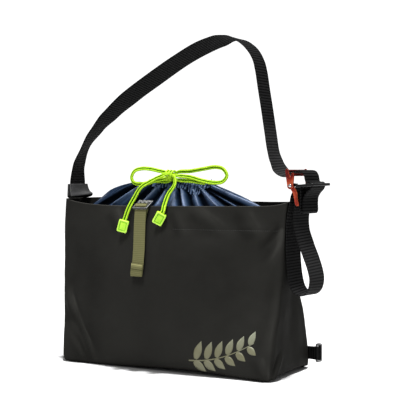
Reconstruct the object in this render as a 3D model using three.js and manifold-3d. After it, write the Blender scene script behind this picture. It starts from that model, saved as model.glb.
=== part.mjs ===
// Drawstring shoulder bag, standing on its base.
// Millimetres, +Z up, front towards -Y. The origin is the middle of the base, on the floor.
import * as THREE from "three";
import { LoftGeometry } from "three/addons/geometries/LoftGeometry.js";
import { mergeVertices } from "three/addons/utils/BufferGeometryUtils.js";
import Module from "manifold-3d";

const wasm = await Module();
wasm.setup();

// Driving dimensions
const bag = { height: 313, wall: 1.6, rimSag: 10, rimTwist: 4, frontLift: 9, sideLift: 11, backLift: 6 };
const frontArch = { middle: 0.62, reach: 0.226 };
const liner = { wall: 1.2, pointsPerPleat: 4 };
const strapWeb = { width: 50, thick: 2.2 };
const oliveWeb = { width: 25, thick: 1.6 };
const tabWeb = { width: 24, thick: 1.6 };
const cord = { diameter: 3.9, spacing: 4.9, sides: 8 };
const stop = { width: 19, height: 23, thick: 8.5, corner: 2, recess: 1.2, rimWidth: 3 };
const gap = 0.3;
const strapMiddle = -6;

// Where the strap buckle stands: its pin's middle, and its turn about Z.
const buckle = { x: 241.4, y: strapMiddle, z: 343, turn: 10 };

const finishes = {
  coatedCloth: { color: 0x2a2a29, roughness: 0.55, metalness: 0 },
  navyNylon: { color: 0x232c44, roughness: 0.4, metalness: 0 },
  blackWebbing: { color: 0x1d1d1e, roughness: 0.8, metalness: 0 },
  oliveWebbing: { color: 0x77755a, roughness: 0.8, metalness: 0 },
  orangeMetal: { color: 0xd2492a, roughness: 0.35, metalness: 0.8 },
  brightMetal: { color: 0xc9c9c9, roughness: 0.25, metalness: 1 },
  blackMetal: { color: 0x19191a, roughness: 0.45, metalness: 0.6 },
  blackPlastic: { color: 0x242527, roughness: 0.5, metalness: 0 },
  limeCord: { color: 0xc6e62f, roughness: 0.7, metalness: 0 },
  greenPlastic: { color: 0x8fe03a, roughness: 0.45, metalness: 0 },
};

const part = new THREE.Group();
const named = (columns, row) => Object.fromEntries(columns.map((name, i) => [name, row[i]]));
const table = (columns, rows) => rows.map((row) => named(columns, row));
const mix = (a, b, t) => a + (b - a) * t;
const rad = THREE.MathUtils.degToRad;

function addPiece(name, geometry, finish, parent = part) {
  const mesh = new THREE.Mesh(geometry, new THREE.MeshStandardMaterial(finishes[finish]));
  mesh.name = name;
  parent.add(mesh);
  return mesh;
}

// Solids for joining and cutting
function toSolid(geometry) {
  const bare = geometry.clone();
  bare.deleteAttribute("normal");
  bare.deleteAttribute("uv");
  const merged = mergeVertices(bare, 1e-4);
  const vertProperties = merged.attributes.position.array;
  const triVerts = new Uint32Array(merged.index.array);
  return new wasm.Manifold(new wasm.Mesh({ numProp: 3, vertProperties, triVerts }));
}

function toGeometry(solid) {
  const mesh = solid.getMesh();
  const geometry = new THREE.BufferGeometry();
  geometry.setAttribute("position", new THREE.BufferAttribute(mesh.vertProperties, 3));
  geometry.setIndex(new THREE.BufferAttribute(mesh.triVerts, 1));
  geometry.computeVertexNormals();
  return geometry;
}

const joined = (pieces) => toGeometry(pieces.map(toSolid).reduce((a, b) => a.add(b)));

// A flat plate whose outline is drawn in X and Z and which is thick along Y, from yStart on.
function uprightPlate(shape, yStart, thick, curveSegments = 5, steps = 1) {
  const options = { depth: thick, bevelEnabled: false, curveSegments, steps };
  const geometry = new THREE.ExtrudeGeometry(shape, options);
  geometry.rotateX(Math.PI / 2);
  geometry.translate(0, yStart + thick, 0);
  return geometry;
}

function outlineOf(points) {
  return new THREE.Shape(points.map(([x, y]) => new THREE.Vector2(x, y)));
}

function roundHole(x, y, radius) {
  const hole = new THREE.Path();
  hole.absarc(x, y, radius, 0, Math.PI * 2, true);
  return hole;
}

const boxOutline = (x0, y0, x1, y1) => outlineOf([[x0, y0], [x1, y0], [x1, y1], [x0, y1]]);
const boxHole = (x0, y0, x1, y1) => outlineOf([[x0, y0], [x0, y1], [x1, y1], [x1, y0]]);

function roundedBox(width, height, corner) {
  const [right, top] = [width / 2 - corner, height / 2 - corner];
  const shape = new THREE.Shape();
  shape.absarc(right, -top, corner, -Math.PI / 2, 0, false);
  shape.absarc(right, top, corner, 0, Math.PI / 2, false);
  shape.absarc(-right, top, corner, Math.PI / 2, Math.PI, false);
  shape.absarc(-right, -top, corner, Math.PI, Math.PI * 1.5, false);
  return shape;
}

// Levels of a cloth wall
// A level runs anticlockwise from its near left corner: front, right end, back, left end.
// Its corners are softened by averaging a dense outline over a few neighbours.
const fineSteps = 12;
const endBow = 1.2;

function levelPoints(row, counts, soft, heightOf) {
  const bow = (end, middle, s) => end + (middle - end) * (1 - (2 * s - 1) ** 2);
  const sides = [
    (s) => [mix(row.left, row.right, s), bow(row.endFront, row.midFront, s)],
    (s) => [bow(row.right, row.right + endBow, s), mix(row.endFront, row.endBack, s)],
    (s) => [mix(row.right, row.left, s), bow(row.endBack, row.midBack, s)],
    (s) => [bow(row.left, row.left - endBow, s), mix(row.endBack, row.endFront, s)],
  ];
  const dense = [];
  sides.forEach((side, sideIndex) => {
    const steps = counts[sideIndex] * fineSteps;
    for (let i = 0; i < steps; i++) {
      const [x, y] = side(i / steps);
      dense.push(new THREE.Vector3(x, y, heightOf(row, sideIndex, i / steps)));
    }
  });
  const points = [];
  for (let k = 0; k < dense.length; k += fineSteps) {
    const point = new THREE.Vector3();
    for (let j = -soft; j <= soft; j++) point.add(dense[(k + j + dense.length) % dense.length]);
    points.push(point.divideScalar(2 * soft + 1));
  }
  return points;
}

// Outward direction of each point of a level, in the horizontal plane.
function levelNormals(points) {
  return points.map((point, i) => {
    const before = points[(i + points.length - 1) % points.length];
    const after = points[(i + 1) % points.length];
    return new THREE.Vector3(after.y - before.y, before.x - after.x, 0).normalize();
  });
}

// Bag body
// left, right: the two end walls; end and mid columns: how far the corners and the middles reach.
// lift: share of the lower edge's lift, rim: share of the rim's sag, floor: how far the wall lies flat.
const wallColumns = ["z", "left", "right", "endFront", "midFront", "endBack", "midBack"];
const bodyLevels = table([...wallColumns, "lift", "rim", "floor"], [
  [0, -221, 219, -83, -80, 83, 81, 0, 0, 1],
  [2, -224.5, 222.5, -87, -85, 86, 85, 0.6, 0, 0.7],
  [8, -226, 223.5, -88.5, -87, 87.5, 87, 1, 0, 0.3],
  [24, -226, 223.5, -88, -88, 87, 88, 0.6, 0, 0],
  [45, -228.5, 223.5, -84, -89, 84, 88, 0.2, 0, 0],
  [75, -233, 223, -75, -91, 77, 88, 0, 0, 0],
  [110, -241, 223.5, -62, -92, 60, 86, 0, 0, 0],
  [150, -249, 223.5, -49, -91, 41, 80, 0, 0, 0],
  [200, -254, 223, -40, -87, 29, 70, 0, 0.1, 0],
  [245, -256.5, 223, -36, -81, 24, 61, 0, 0.35, 0],
  [283, -257, 224.5, -33, -74, 21, 53, 0, 0.7, 0],
  [bag.height, -256, 228, -31, -68, 19, 47, 0, 1, 0],
]);
const bodyCounts = [20, 10, 20, 10];
const bodySoft = 9;

// Pushed-in places of the wall: side, middle, half sizes along and across the fold, its lean and depth.
const bodyDents = [
  { side: "front", x: -196, z: 70, long: 60, short: 14, lean: -38, depth: 5 },
  { side: "front", x: -168, z: 38, long: 40, short: 13, lean: -40, depth: 4 },
  { side: "front", x: 205, z: 240, long: 34, short: 13, lean: 70, depth: 6 },
  { side: "front", x: 120, z: 268, long: 50, short: 18, lean: 20, depth: 3 },
  { side: "front", x: -30, z: 140, long: 120, short: 60, lean: 10, depth: 4 },
  { side: "right", y: 5, z: 120, long: 70, short: 18, lean: 80, depth: 7 },
  { side: "back", x: 60, z: 190, long: 90, short: 40, lean: -25, depth: 6 },
  { side: "back", x: -120, z: 120, long: 80, short: 36, lean: 30, depth: 5 },
];
const inward = {
  front: new THREE.Vector3(0, 1, 0),
  back: new THREE.Vector3(0, -1, 0),
  right: new THREE.Vector3(-1, 0, 0),
};

function bodyHeight(row, sideIndex, s) {
  const swell = 1 - (2 * s - 1) ** 4;
  const leftShare = 1 - 2 * s;
  const arch = Math.exp(-(((s - frontArch.middle) / frontArch.reach) ** 2));
  const lifts = [bag.frontLift * arch, bag.sideLift * swell, bag.backLift * swell, bag.sideLift * swell];
  const wave = [-bag.rimSag * swell * (1 + 0.3 * leftShare), 0, -bag.rimTwist * swell * leftShare, 0];
  return row.z + lifts[sideIndex] * row.lift + wave[sideIndex] * row.rim;
}

function dented(point, normal) {
  const moved = point.clone();
  for (const dent of bodyDents) {
    const facing = Math.max(0, -normal.dot(inward[dent.side]));
    const across = dent.side === "right" ? point.y - dent.y : point.x - dent.x;
    const up = point.z - dent.z;
    const lean = rad(dent.lean);
    const along = (across * Math.cos(lean) + up * Math.sin(lean)) / dent.long;
    const beside = (up * Math.cos(lean) - across * Math.sin(lean)) / dent.short;
    const share = facing * Math.exp(-along * along - beside * beside);
    moved.addScaledVector(inward[dent.side], dent.depth * share);
  }
  return moved;
}

function bodyWall(row) {
  const plain = levelPoints(row, bodyCounts, bodySoft, bodyHeight);
  const normals = levelNormals(plain);
  const outer = plain.map((point, i) => dented(point, normals[i]));
  const sideways = bag.wall * Math.sqrt(1 - row.floor ** 2);
  const inner = outer.map((point, i) => {
    const moved = point.clone().addScaledVector(normals[i], -sideways);
    moved.z += bag.wall * row.floor;
    return moved;
  });
  return { outer, inner };
}

const bodyWalls = bodyLevels.map(bodyWall);
const floorCrown = { share: 0.6, rise: 0.4 };
const floorMiddle = bodyWalls[0].inner.map((point) => {
  const place = point.clone().multiplyScalar(floorCrown.share);
  return place.setZ(bag.wall + floorCrown.rise);
});
const bodyOutside = bodyWalls.map((wall) => wall.outer);
const bodyInside = bodyWalls.map((wall) => wall.inner).reverse();
const bodySections = [...bodyOutside, ...bodyInside, floorMiddle];
addPiece("bag_body", new LoftGeometry(bodySections, { capStart: true, capEnd: true }), "coatedCloth");

// How far the front of the body reaches at a place, for what hangs against it.
function frontAt(x, z) {
  const above = Math.max(1, bodyLevels.findIndex((row) => row.z >= z));
  const low = bodyLevels[above - 1];
  const high = bodyLevels[above];
  const t = (z - low.z) / (high.z - low.z);
  const reach = (row) => {
    const s = (x - row.left) / (row.right - row.left);
    return row.endFront + (row.midFront - row.endFront) * (1 - (2 * s - 1) ** 2);
  };
  return mix(reach(low), reach(high), t);
}

// Liner collar: the same kind of levels, with pleats that deepen towards the gathered mouth.
const linerLevels = table([...wallColumns, "pleat", "tilt"], [
  [262, -247, 214, -22, -69, 11, 48, 0, 0],
  [288, -236, 203, -22, -61, 10, 42, 0.8, 0],
  [303, -201, 166, -25, -53, 12, 38, 1.6, 0],
  [318, -178, 134, -26, -47, 12, 33, 2.4, 1],
  [333, -156, 100, -25, -41, 10, 27, 3, 2],
  [345, -114, 70, -22, -36, 7, 22, 3, 3],
  [348, -84, 66, -19, -33, 6, 18, 2.6, 4],
  [345.5, -60, 63, -15, -28, 3, 13, 2, 4],
  [352, -64, 69, -18, -33, 6, 18, 3.4, 4],
]);
const linerCounts = [40, 12, 40, 12];
const linerSoft = 40;
const pleatWave = [0, 1, 0, -1];

function linerWall(row) {
  const middle = (row.midFront + row.midBack) / 2;
  const halfDepth = (row.midBack - row.midFront) / 2;
  const plain = levelPoints(row, linerCounts, linerSoft, () => row.z);
  const normals = levelNormals(plain);
  const shifted = (inset) => plain.map((point, i) => {
    const pleat = row.pleat * pleatWave[i % liner.pointsPerPleat];
    const moved = point.clone().addScaledVector(normals[i], pleat - inset);
    moved.z += row.tilt * (point.y - middle) / halfDepth;
    return moved;
  });
  return { outer: shifted(0), inner: shifted(liner.wall) };
}

// The collar's wall closes on itself: up the outside, over the mouth and down the inside.
function closedWall(walls) {
  const outer = walls.map((w) => w.outer);
  const inner = walls.map((w) => w.inner).reverse();
  return new LoftGeometry([...outer, ...inner, outer[0]]);
}
addPiece("liner_collar", closedWall(linerLevels.map(linerWall)), "navyNylon");

// Webbing: a flat band swept through its stations.
// turn: how far its width is turned from +Y towards +X; lean: its roll about its own run, in degrees.
function webbing(stations, web, stepsPerSpan, upright = false) {
  const places = stations.map((station) => new THREE.Vector3(station.x, station.y, station.z));
  const angles = stations.map((station) => new THREE.Vector3(station.turn ?? 0, station.lean ?? 0, 0));
  const line = new THREE.CatmullRomCurve3(places, false, "centripetal");
  const swing = new THREE.CatmullRomCurve3(angles, false, "catmullrom", 0);
  const steps = (stations.length - 1) * stepsPerSpan;
  const sections = [];
  for (let i = 0; i <= steps; i++) {
    const u = i / steps;
    const middle = line.getPoint(u);
    const run = line.getTangent(u);
    const swung = swing.getPoint(u);
    const turn = rad(swung.x);
    const level = new THREE.Vector3(Math.sin(turn), Math.cos(turn), 0);
    const across = upright ? new THREE.Vector3(0, 0, 1) : level;
    across.addScaledVector(run, -across.dot(run)).normalize().applyAxisAngle(run, rad(swung.y));
    const face = new THREE.Vector3().crossVectors(run, across);
    const corner = (side, up) => middle.clone()
      .addScaledVector(across, side * web.width / 2)
      .addScaledVector(face, up * web.thick / 2);
    sections.push([corner(-1, -1), corner(1, -1), corner(1, 1), corner(-1, 1)]);
  }
  return new LoftGeometry(sections, { capStart: true, capEnd: true });
}

// A place given beside the buckle's pin: along its own X, and up.
function atBuckle(along, up, more = {}) {
  const turn = rad(buckle.turn);
  const x = buckle.x + along * Math.cos(turn);
  const y = buckle.y - along * Math.sin(turn);
  return { x, y, z: buckle.z + up, turn: buckle.turn, ...more };
}

const overShoulder = table(["x", "z", "lean", "turn"], [
  [-244, 320, 0, 0],
  [-244, 344, 0, 0],
  [-241, 378, 8, 0],
  [-226, 413, 15, 0],
  [-198, 448, 4, 0],
  [-164, 479, -8, 0],
  [-117, 513, -16, 0],
  [-65, 544, -17, 0],
  [-4, 578, -16, 0],
  [42, 599, -18, 0],
  [76, 609.5, -16, 0],
  [102, 614, -5, 0],
  [124, 608, 2, 0],
  [145, 592.5, 2, 0],
  [159, 571, 0, 0],
  [165, 550, 0, 0],
  [170, 520, 0, 0],
  [177, 480, 0, 0],
  [184, 437, 0, 0],
  [189.5, 405, 0, 0],
  [196, 386, 3, 0],
  [205, 370, 5, 4],
  [216, 362.5, 3, 8],
]).map((row) => ({ y: strapMiddle, ...row }));

// Through the buckle, over its second bar, along the release plate and through its slot to the doubled tail.
const throughBuckle = [
  atBuckle(-15, 18.5),
  atBuckle(-7, 20.2),
  atBuckle(0, 23),
  atBuckle(6, 25.4),
  atBuckle(13, 26.6, { turn: 9 }),
  atBuckle(20, 24.4, { turn: 8 }),
  atBuckle(24.6, 18.4, { turn: 7.5 }),
  atBuckle(26.2, 12, { turn: 7.5 }),
  atBuckle(27.8, 7.4, { turn: 7 }),
  atBuckle(31.2, 5.8, { turn: 6.5 }),
  atBuckle(36, 5.8, { turn: 6 }),
  atBuckle(39.4, 2.6, { turn: 6 }),
  atBuckle(37.5, -4.4, { turn: 6 }),
  atBuckle(30.5, -11.5, { turn: 7 }),
  atBuckle(24.6, -19.5, { turn: 8 }),
  atBuckle(22.8, -30, { turn: 9 }),
  atBuckle(22.8, -45, { turn: 9 }),
  atBuckle(20, -48.6, { turn: 9 }),
  atBuckle(17.2, -45, { turn: 9 }),
  atBuckle(17, -30, { turn: 9 }),
  atBuckle(17.4, -3.6, { turn: 9 }),
];
addPiece("shoulder_strap", webbing([...overShoulder, ...throughBuckle], strapWeb, 2), "blackWebbing");

// Anchor loop: round the link's bar, down the bag's right end where it is sewn, and back up outside.
const linkBar = { along: 6.6, up: -9.5, radius: 2.4 };
const loopTurn = linkBar.radius + 1.5 * gap + strapWeb.thick / 2;
const roundLink = [165, 130, 95, 60, 25, -10].map((angle) => atBuckle(
  linkBar.along + loopTurn * Math.cos(rad(angle)),
  linkBar.up + loopTurn * Math.sin(rad(angle))));
const loopStations = [
  ...roundLink,
  atBuckle(8.6, -31),
  { x: 244.5, z: 288, turn: 10 },
  { x: 246, z: 265, turn: 9 },
  { x: 254.5, z: 239, turn: 10 },
  { x: 263.5, z: 217, turn: 10 },
  { x: 272, z: 193, turn: 9 },
  { x: 275, z: 176, turn: 8 },
  { x: 271, z: 158, turn: 8 },
  { x: 261, z: 149, turn: 8 },
  { x: 249, z: 150.5, turn: 8 },
  { x: 239, z: 160, turn: 8 },
  { x: 233, z: 182, turn: 7 },
  { x: 229.5, z: 222, turn: 6 },
  { x: 227.4, z: 258, turn: 2 },
  { x: 228.6, z: 284, turn: 1 },
  { x: 233, z: 303, y: strapMiddle + 1, turn: 5 },
  atBuckle(linkBar.along - loopTurn - 4, linkBar.up - 8),
  atBuckle(linkBar.along - loopTurn - 0.3, linkBar.up - 0.9),
].map((row) => ({ y: strapMiddle, ...row }));
addPiece("anchor_loop", webbing(loopStations, strapWeb, 2), "blackWebbing");

// Strap anchor: a folded cuff round the strap's left end, with a tail sewn inside the end wall.
const cuff = { width: 57, tailWidth: 30, top: 342.5, slotFoot: 318.5, foot: 314.5, tailFoot: 266 };
const cuffFlare = { near: -2.5, far: 9, power: 2, steps: 5, rightOf: -241, lift: 0.35 };
const cuffOutline = outlineOf([
  [-248.4, cuff.foot], [-240, cuff.foot], [-236, cuff.slotFoot], [-238, 327], [-240.6, cuff.top],
  [-242.2, cuff.top], [-242.4, cuff.slotFoot], [-245.6, cuff.slotFoot], [-245.8, cuff.top],
  [-247.4, cuff.top], [-248.2, 326],
]);

// The cuff's right fold swings out towards its far lower corner.
function flaredCuff() {
  const start = strapMiddle - cuff.width / 2;
  const geometry = uprightPlate(cuffOutline, start, cuff.width, 1, cuffFlare.steps);
  const place = geometry.attributes.position;
  for (let i = 0; i < place.count; i++) {
    const [x, y, z] = [place.getX(i), place.getY(i), place.getZ(i)];
    if (x < cuffFlare.rightOf) continue;
    const across = ((y - start) / cuff.width) ** cuffFlare.power;
    const flare = mix(cuffFlare.near, cuffFlare.far, across) * (cuff.top - z) / (cuff.top - cuff.slotFoot);
    place.setX(i, x + flare);
    place.setZ(i, z + cuffFlare.lift * flare);
  }
  return geometry;
}
const cuffTail = outlineOf([
  [-251, cuff.tailFoot], [-249.4, cuff.tailFoot], [-248.8, 300], [-245, cuff.foot + 1], [-248, cuff.foot + 1],
  [-250.4, 300],
]);
addPiece("strap_anchor", joined([
  flaredCuff(),
  uprightPlate(cuffTail, strapMiddle - cuff.tailWidth / 2, cuff.tailWidth),
]), "coatedCloth");

// Strap buckle, in a group of its own turned with the strap; X and Z are measured from the pin.
const strapBuckle = new THREE.Group();
strapBuckle.position.set(buckle.x, buckle.y, buckle.z);
strapBuckle.rotation.z = -rad(buckle.turn);
part.add(strapBuckle);

const pin = { radius: 1.9, hole: 2.3, headRadius: 3.1, head: 1.5 };
const cheek = { inside: 28.8, thick: 2.2, foot: 6.3 };
const arm = { inside: 26.2, thick: 2.2 };
const ear = { inside: 23.4, thick: 2.2 };
const bars = [{ along: -7.4, up: 26.2, radius: 2.3 }, { along: 5.2, up: 19, radius: 2.3 }];

// A pair of plates, one at each side of the strap.
const platePair = (shape, sizes) => [
  uprightPlate(shape, sizes.inside, sizes.thick),
  uprightPlate(shape, -sizes.inside - sizes.thick, sizes.thick),
];

function barAcross(bar, reach) {
  const geometry = new THREE.CylinderGeometry(bar.radius, bar.radius, 2 * reach, 10);
  geometry.translate(bar.along, 0, bar.up);
  return geometry;
}

function forkedCheek() {
  const shape = new THREE.Shape();
  shape.moveTo(-10.4, 26);
  shape.lineTo(-9, 16);
  shape.absarc(0, 0, cheek.foot, Math.PI, Math.PI * 2, false);
  shape.lineTo(7.4, 8);
  shape.lineTo(8.2, 19);
  shape.quadraticCurveTo(8.2, 22.6, 5.2, 23);
  shape.quadraticCurveTo(3, 23, 2.4, 20.5);
  shape.lineTo(0.2, 15);
  shape.lineTo(-4, 26);
  shape.quadraticCurveTo(-4.2, 29.6, -7, 29.8);
  shape.quadraticCurveTo(-10.2, 29.6, -10.4, 26);
  shape.holes.push(roundHole(0, 0, pin.hole));
  return shape;
}
const cheekPair = platePair(forkedCheek(), cheek);
const frameBars = bars.map((bar) => barAcross(bar, cheek.inside + cheek.thick / 2));
addPiece("buckle_frame", joined([...cheekPair, ...frameBars]), "orangeMetal", strapBuckle);

function linkArm() {
  const shape = new THREE.Shape();
  shape.moveTo(4.6, -14);
  shape.lineTo(9, -33.5);
  shape.quadraticCurveTo(12, -37, 16.2, -35);
  shape.quadraticCurveTo(17.5, -31.5, 14, -27);
  shape.lineTo(12.6, -12);
  shape.absarc(0, 0, 5, 0, Math.PI, false);
  shape.holes.push(roundHole(0, 0, pin.hole));
  return shape;
}
const armPair = platePair(linkArm(), arm);
const armBar = barAcross(linkBar, arm.inside + arm.thick / 2);
addPiece("buckle_link", joined([...armPair, armBar]), "orangeMetal", strapBuckle);

function pinProfile() {
  const shoulder = cheek.inside + cheek.thick + gap;
  const end = shoulder + pin.head;
  const crown = [[pin.headRadius, end - 0.7], [pin.headRadius * 0.6, end]];
  const half = [[pin.radius, shoulder], [pin.headRadius, shoulder], ...crown];
  const mirrored = half.map(([radius, y]) => [radius, -y]).reverse();
  return [[0, -end], ...mirrored, ...half, [0, end]].map(([radius, y]) => new THREE.Vector2(radius, y));
}
addPiece("buckle_pin", new THREE.LatheGeometry(pinProfile(), 12), "brightMetal", strapBuckle);

// Release plate: a thin plate with a slot for the tail, carried on the pin by two ears.
const plate = { start: 9, end: 47, halfWidth: 29, thick: 4.6, up: -4, tilt: 5 };
const plateSlot = { start: 33.8, end: 43.6, half: 26 };
function releasePlate() {
  const top = boxOutline(plate.start, -plate.halfWidth, plate.end, plate.halfWidth);
  top.holes.push(boxHole(plateSlot.start, -plateSlot.half, plateSlot.end, plateSlot.half));
  const sheet = new THREE.ExtrudeGeometry(top, { depth: plate.thick, bevelEnabled: false });
  sheet.rotateY(-rad(plate.tilt));
  sheet.translate(0, 0, plate.up);
  const side = new THREE.Shape();
  side.absarc(0, 0, 4.6, Math.PI / 2, -Math.PI / 2, false);
  side.lineTo(12, 1);
  side.lineTo(12, 4.4);
  side.holes.push(roundHole(0, 0, pin.hole));
  return joined([sheet, ...platePair(side, ear)]);
}
addPiece("release_plate", releasePlate(), "blackMetal", strapBuckle);

// Closure buckle: a ladder frame lying over the front rim, tipped towards the front.
const closure = { x: -49, offset: 5.2, z: 303.4, tilt: 28, width: 32, thick: 3.6 };
const ladder = { front: -9.8, frontSlot: [-6.2, -2.2], rearSlot: [2.2, 5.2], rear: 20, slotHalf: 13.2 };
const knurl = { teeth: 4, size: 1.4 };
const closureY = frontAt(closure.x, bag.height - bag.rimSag) - closure.offset;

function ladderBuckle() {
  const outline = boxOutline(-closure.width / 2, ladder.front, closure.width / 2, ladder.rear);
  for (const [start, end] of [ladder.frontSlot, ladder.rearSlot]) {
    outline.holes.push(boxHole(-ladder.slotHalf, start, ladder.slotHalf, end));
  }
  const frame = new THREE.ExtrudeGeometry(outline, { depth: closure.thick, bevelEnabled: false });
  frame.translate(0, 0, -closure.thick / 2);
  const pieces = [frame];
  for (let i = 0; i < knurl.teeth; i++) {
    const pitch = (ladder.rear - 2 - ladder.rearSlot[1]) / knurl.teeth;
    const tooth = new THREE.BoxGeometry(2 * ladder.slotHalf, knurl.size, knurl.size * 2);
    tooth.translate(0, ladder.rearSlot[1] + pitch * (i + 0.75), closure.thick / 2);
    pieces.push(tooth);
  }
  return joined(pieces);
}
const closureGroup = new THREE.Group();
closureGroup.position.set(closure.x, closureY, closure.z);
closureGroup.rotation.x = rad(closure.tilt);
part.add(closureGroup);
addPiece("closure_buckle", ladderBuckle(), "blackPlastic", closureGroup);

// Closure strap: sewn to the front, up round the middle bar and down to a folded end.
const atFront = (x, offset, z) => ({ x, y: frontAt(x, z) - offset, z, turn: -90 });
function atLadder(along, up) {
  const tilt = rad(closure.tilt);
  const y = closureY + along * Math.cos(tilt) - up * Math.sin(tilt);
  const z = closure.z + along * Math.sin(tilt) + up * Math.cos(tilt);
  return { x: closure.x, y, z, turn: -90 };
}
const closureStations = [
  atFront(-51.5, 1.6, 276),
  atFront(-51, 1.7, 288),
  atFront(-49.2, 1.4, 298),
  atLadder(3.8, -0.6),
  atLadder(3.3, 2.3),
  atLadder(0, 3.5),
  atLadder(-3.4, 2.3),
  atLadder(-4.1, -0.6),
  atFront(-48.5, 8.3, 295),
  atFront(-48.5, 7.5, 280),
  atFront(-47, 6.5, 250),
  atFront(-46, 6, 225),
  atFront(-46.5, 5.5, 200),
  atFront(-48.4, 5, 179),
  atFront(-48.6, 6.1, 174),
  atFront(-48.4, 7.4, 179),
  atFront(-47, 7.6, 197),
];
addPiece("closure_strap", webbing(closureStations, oliveWeb, 2), "oliveWebbing");

// Ring on its tab at the lower back corner
const ring = { x: 236, y: 87.5, z: 27, tall: 35, wide: 15, bar: 3, corner: 4, swung: 80 };
const ringDepth = { hinge: 3, free: 9, hingeReach: 2.6 };
const tabTurn = ringDepth.hingeReach + gap + tabWeb.thick / 2;
const tabStations = [
  { x: 205, y: ring.y + 1.5 },
  { x: 213, y: ring.y + 0.6 },
  { x: 219, y: ring.y - 1.1 },
  { x: 227, y: ring.y - 1.8 },
  { x: ring.x - 1, y: ring.y - tabTurn },
  { x: ring.x + 0.8 * tabTurn, y: ring.y - 0.8 * tabTurn },
  { x: ring.x + 1.1 * tabTurn, y: ring.y },
  { x: ring.x + 0.8 * tabTurn, y: ring.y + 0.8 * tabTurn },
  { x: ring.x - 1, y: ring.y + tabTurn },
  { x: 227, y: ring.y + 1.6 },
  { x: 219, y: ring.y + 1.3 },
  { x: 213, y: ring.y + 2.6 },
  { x: 205, y: ring.y + 3.5 },
].map((row) => ({ z: ring.z, ...row }));
addPiece("ring_tab", webbing(tabStations, tabWeb, 2, true), "blackWebbing");

// The ring is deeper towards its free side.
function ringGeometry() {
  const outline = roundedBox(ring.wide, ring.tall, ring.corner);
  const [right, top] = [ring.wide / 2 - ring.bar, ring.tall / 2 - ring.bar];
  outline.holes.push(boxHole(-right, -top, right, top));
  const geometry = uprightPlate(outline, -0.5, 1, 2);
  const place = geometry.attributes.position;
  for (let i = 0; i < place.count; i++) {
    const share = place.getX(i) / ring.wide + 0.5;
    place.setY(i, place.getY(i) * mix(ringDepth.hinge, ringDepth.free, share));
  }
  geometry.translate((ring.wide - ring.bar) / 2, 0, 0);
  return geometry;
}
const tabRing = addPiece("tab_ring", ringGeometry(), "blackPlastic");
tabRing.position.set(ring.x, ring.y, ring.z);
tabRing.rotation.z = rad(ring.swung);

// Drawcord: two doubled cords, each in leads, a bow loop and a tail that meet in the knot.
const cordSection = new THREE.Shape();
for (let i = 0; i < cord.sides; i++) {
  const angle = i / cord.sides * Math.PI * 2;
  const [x, y] = [Math.cos(angle) * cord.diameter / 2, Math.sin(angle) * cord.diameter / 2];
  if (i === 0) cordSection.moveTo(x, y);
  else cordSection.lineTo(x, y);
}

// Two strands side by side: the route moved to either side, in the plane of the bow.
function addCordPair(name, route, steps) {
  const line = new THREE.CatmullRomCurve3(route.map((p) => new THREE.Vector3(...p)));
  for (const [letter, side] of [["a", 1], ["b", -1]]) {
    const strand = route.map((p, i) => {
      const run = line.getTangent(i / (route.length - 1));
      const beside = new THREE.Vector3(-run.z, 0, run.x).normalize();
      return new THREE.Vector3(...p).addScaledVector(beside, side * cord.spacing / 2);
    });
    const extrudePath = new THREE.CatmullRomCurve3(strand);
    const tube = new THREE.ExtrudeGeometry(cordSection, { steps, extrudePath, bevelEnabled: false });
    addPiece(`${name}_${letter}`, tube, "limeCord");
  }
}
const cordRoutes = {
  loop_right: [
    [4, -34, 366], [34, -36, 368.5], [61, -37, 372.5], [88, -36, 376], [103, -36, 372], [110, -36, 360],
    [103, -39, 349.5], [86, -42, 347.5], [62, -44.5, 351.5], [38, -44, 357.5], [4, -41, 360.5],
  ],
  loop_left: [
    [-13, -34, 363.5], [-35, -40, 369.5], [-54, -43, 373], [-68, -46, 373], [-82, -47, 368.5],
    [-88, -48, 357],
    [-84, -49, 348], [-73, -49, 344], [-55, -47, 345.5], [-35, -44, 351], [-13, -41, 356],
  ],
  tail_left: [
    [-8, -50, 363], [-25, -53, 357], [-42, -57, 348.5], [-59, -61, 338], [-70, -67, 318], [-77, -76, 298],
    [-81, -83, 278],
  ],
  tail_right: [[6, -49, 358], [11, -55, 344], [2, -63, 325], [0.4, -75, 305], [2.6, -83.2, 295]],
  lead_right: [[4, -37, 353], [39, -39, 350], [66, -37.5, 346.5]],
  lead_left: [[-13, -36, 350], [-36, -38.5, 349.5], [-54, -39.5, 349]],
};
const cordSteps = { loop_right: 14, loop_left: 12, tail_left: 6, tail_right: 5, lead_right: 2, lead_left: 1 };
for (const name of Object.keys(cordRoutes)) addCordPair(name, cordRoutes[name], cordSteps[name]);

const knot = { x: -4.5, y: -39, z: 360, halfX: 7, halfY: 9, halfZ: 11.5 };
const knotGeometry = new THREE.SphereGeometry(1, 12, 8);
knotGeometry.scale(knot.halfX, knot.halfY, knot.halfZ);
addPiece("bow_knot", knotGeometry, "limeCord").position.set(knot.x, knot.y, knot.z);

// Cord stops: flat green blocks with a sunk panel on each face.
function stopGeometry() {
  const outline = roundedBox(stop.width, stop.height, stop.corner);
  const block = toSolid(uprightPlate(outline, -stop.thick / 2, stop.thick, 2));
  const panel = roundedBox(stop.width - 2 * stop.rimWidth, stop.height - 2 * stop.rimWidth, stop.corner);
  const near = toSolid(uprightPlate(panel, -stop.thick / 2 - 1, stop.recess + 1, 2));
  const far = toSolid(uprightPlate(panel, stop.thick / 2 - stop.recess, stop.recess + 1, 2));
  return toGeometry(block.subtract(near).subtract(far));
}
const stopPlaces = [
  { name: "cord_stop_left", x: -83.5, y: -85.5, z: 265.6, swing: 17, turn: 26 },
  { name: "cord_stop_right", x: -4, y: -85.5, z: 281.5, swing: 32, turn: 30 },
];
for (const place of stopPlaces) {
  const mesh = addPiece(place.name, stopGeometry(), "greenPlastic");
  mesh.position.set(place.x, place.y, place.z);
  mesh.rotation.set(0, rad(place.swing), rad(place.turn), "YXZ");
}

export default part;
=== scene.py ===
import math

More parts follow.
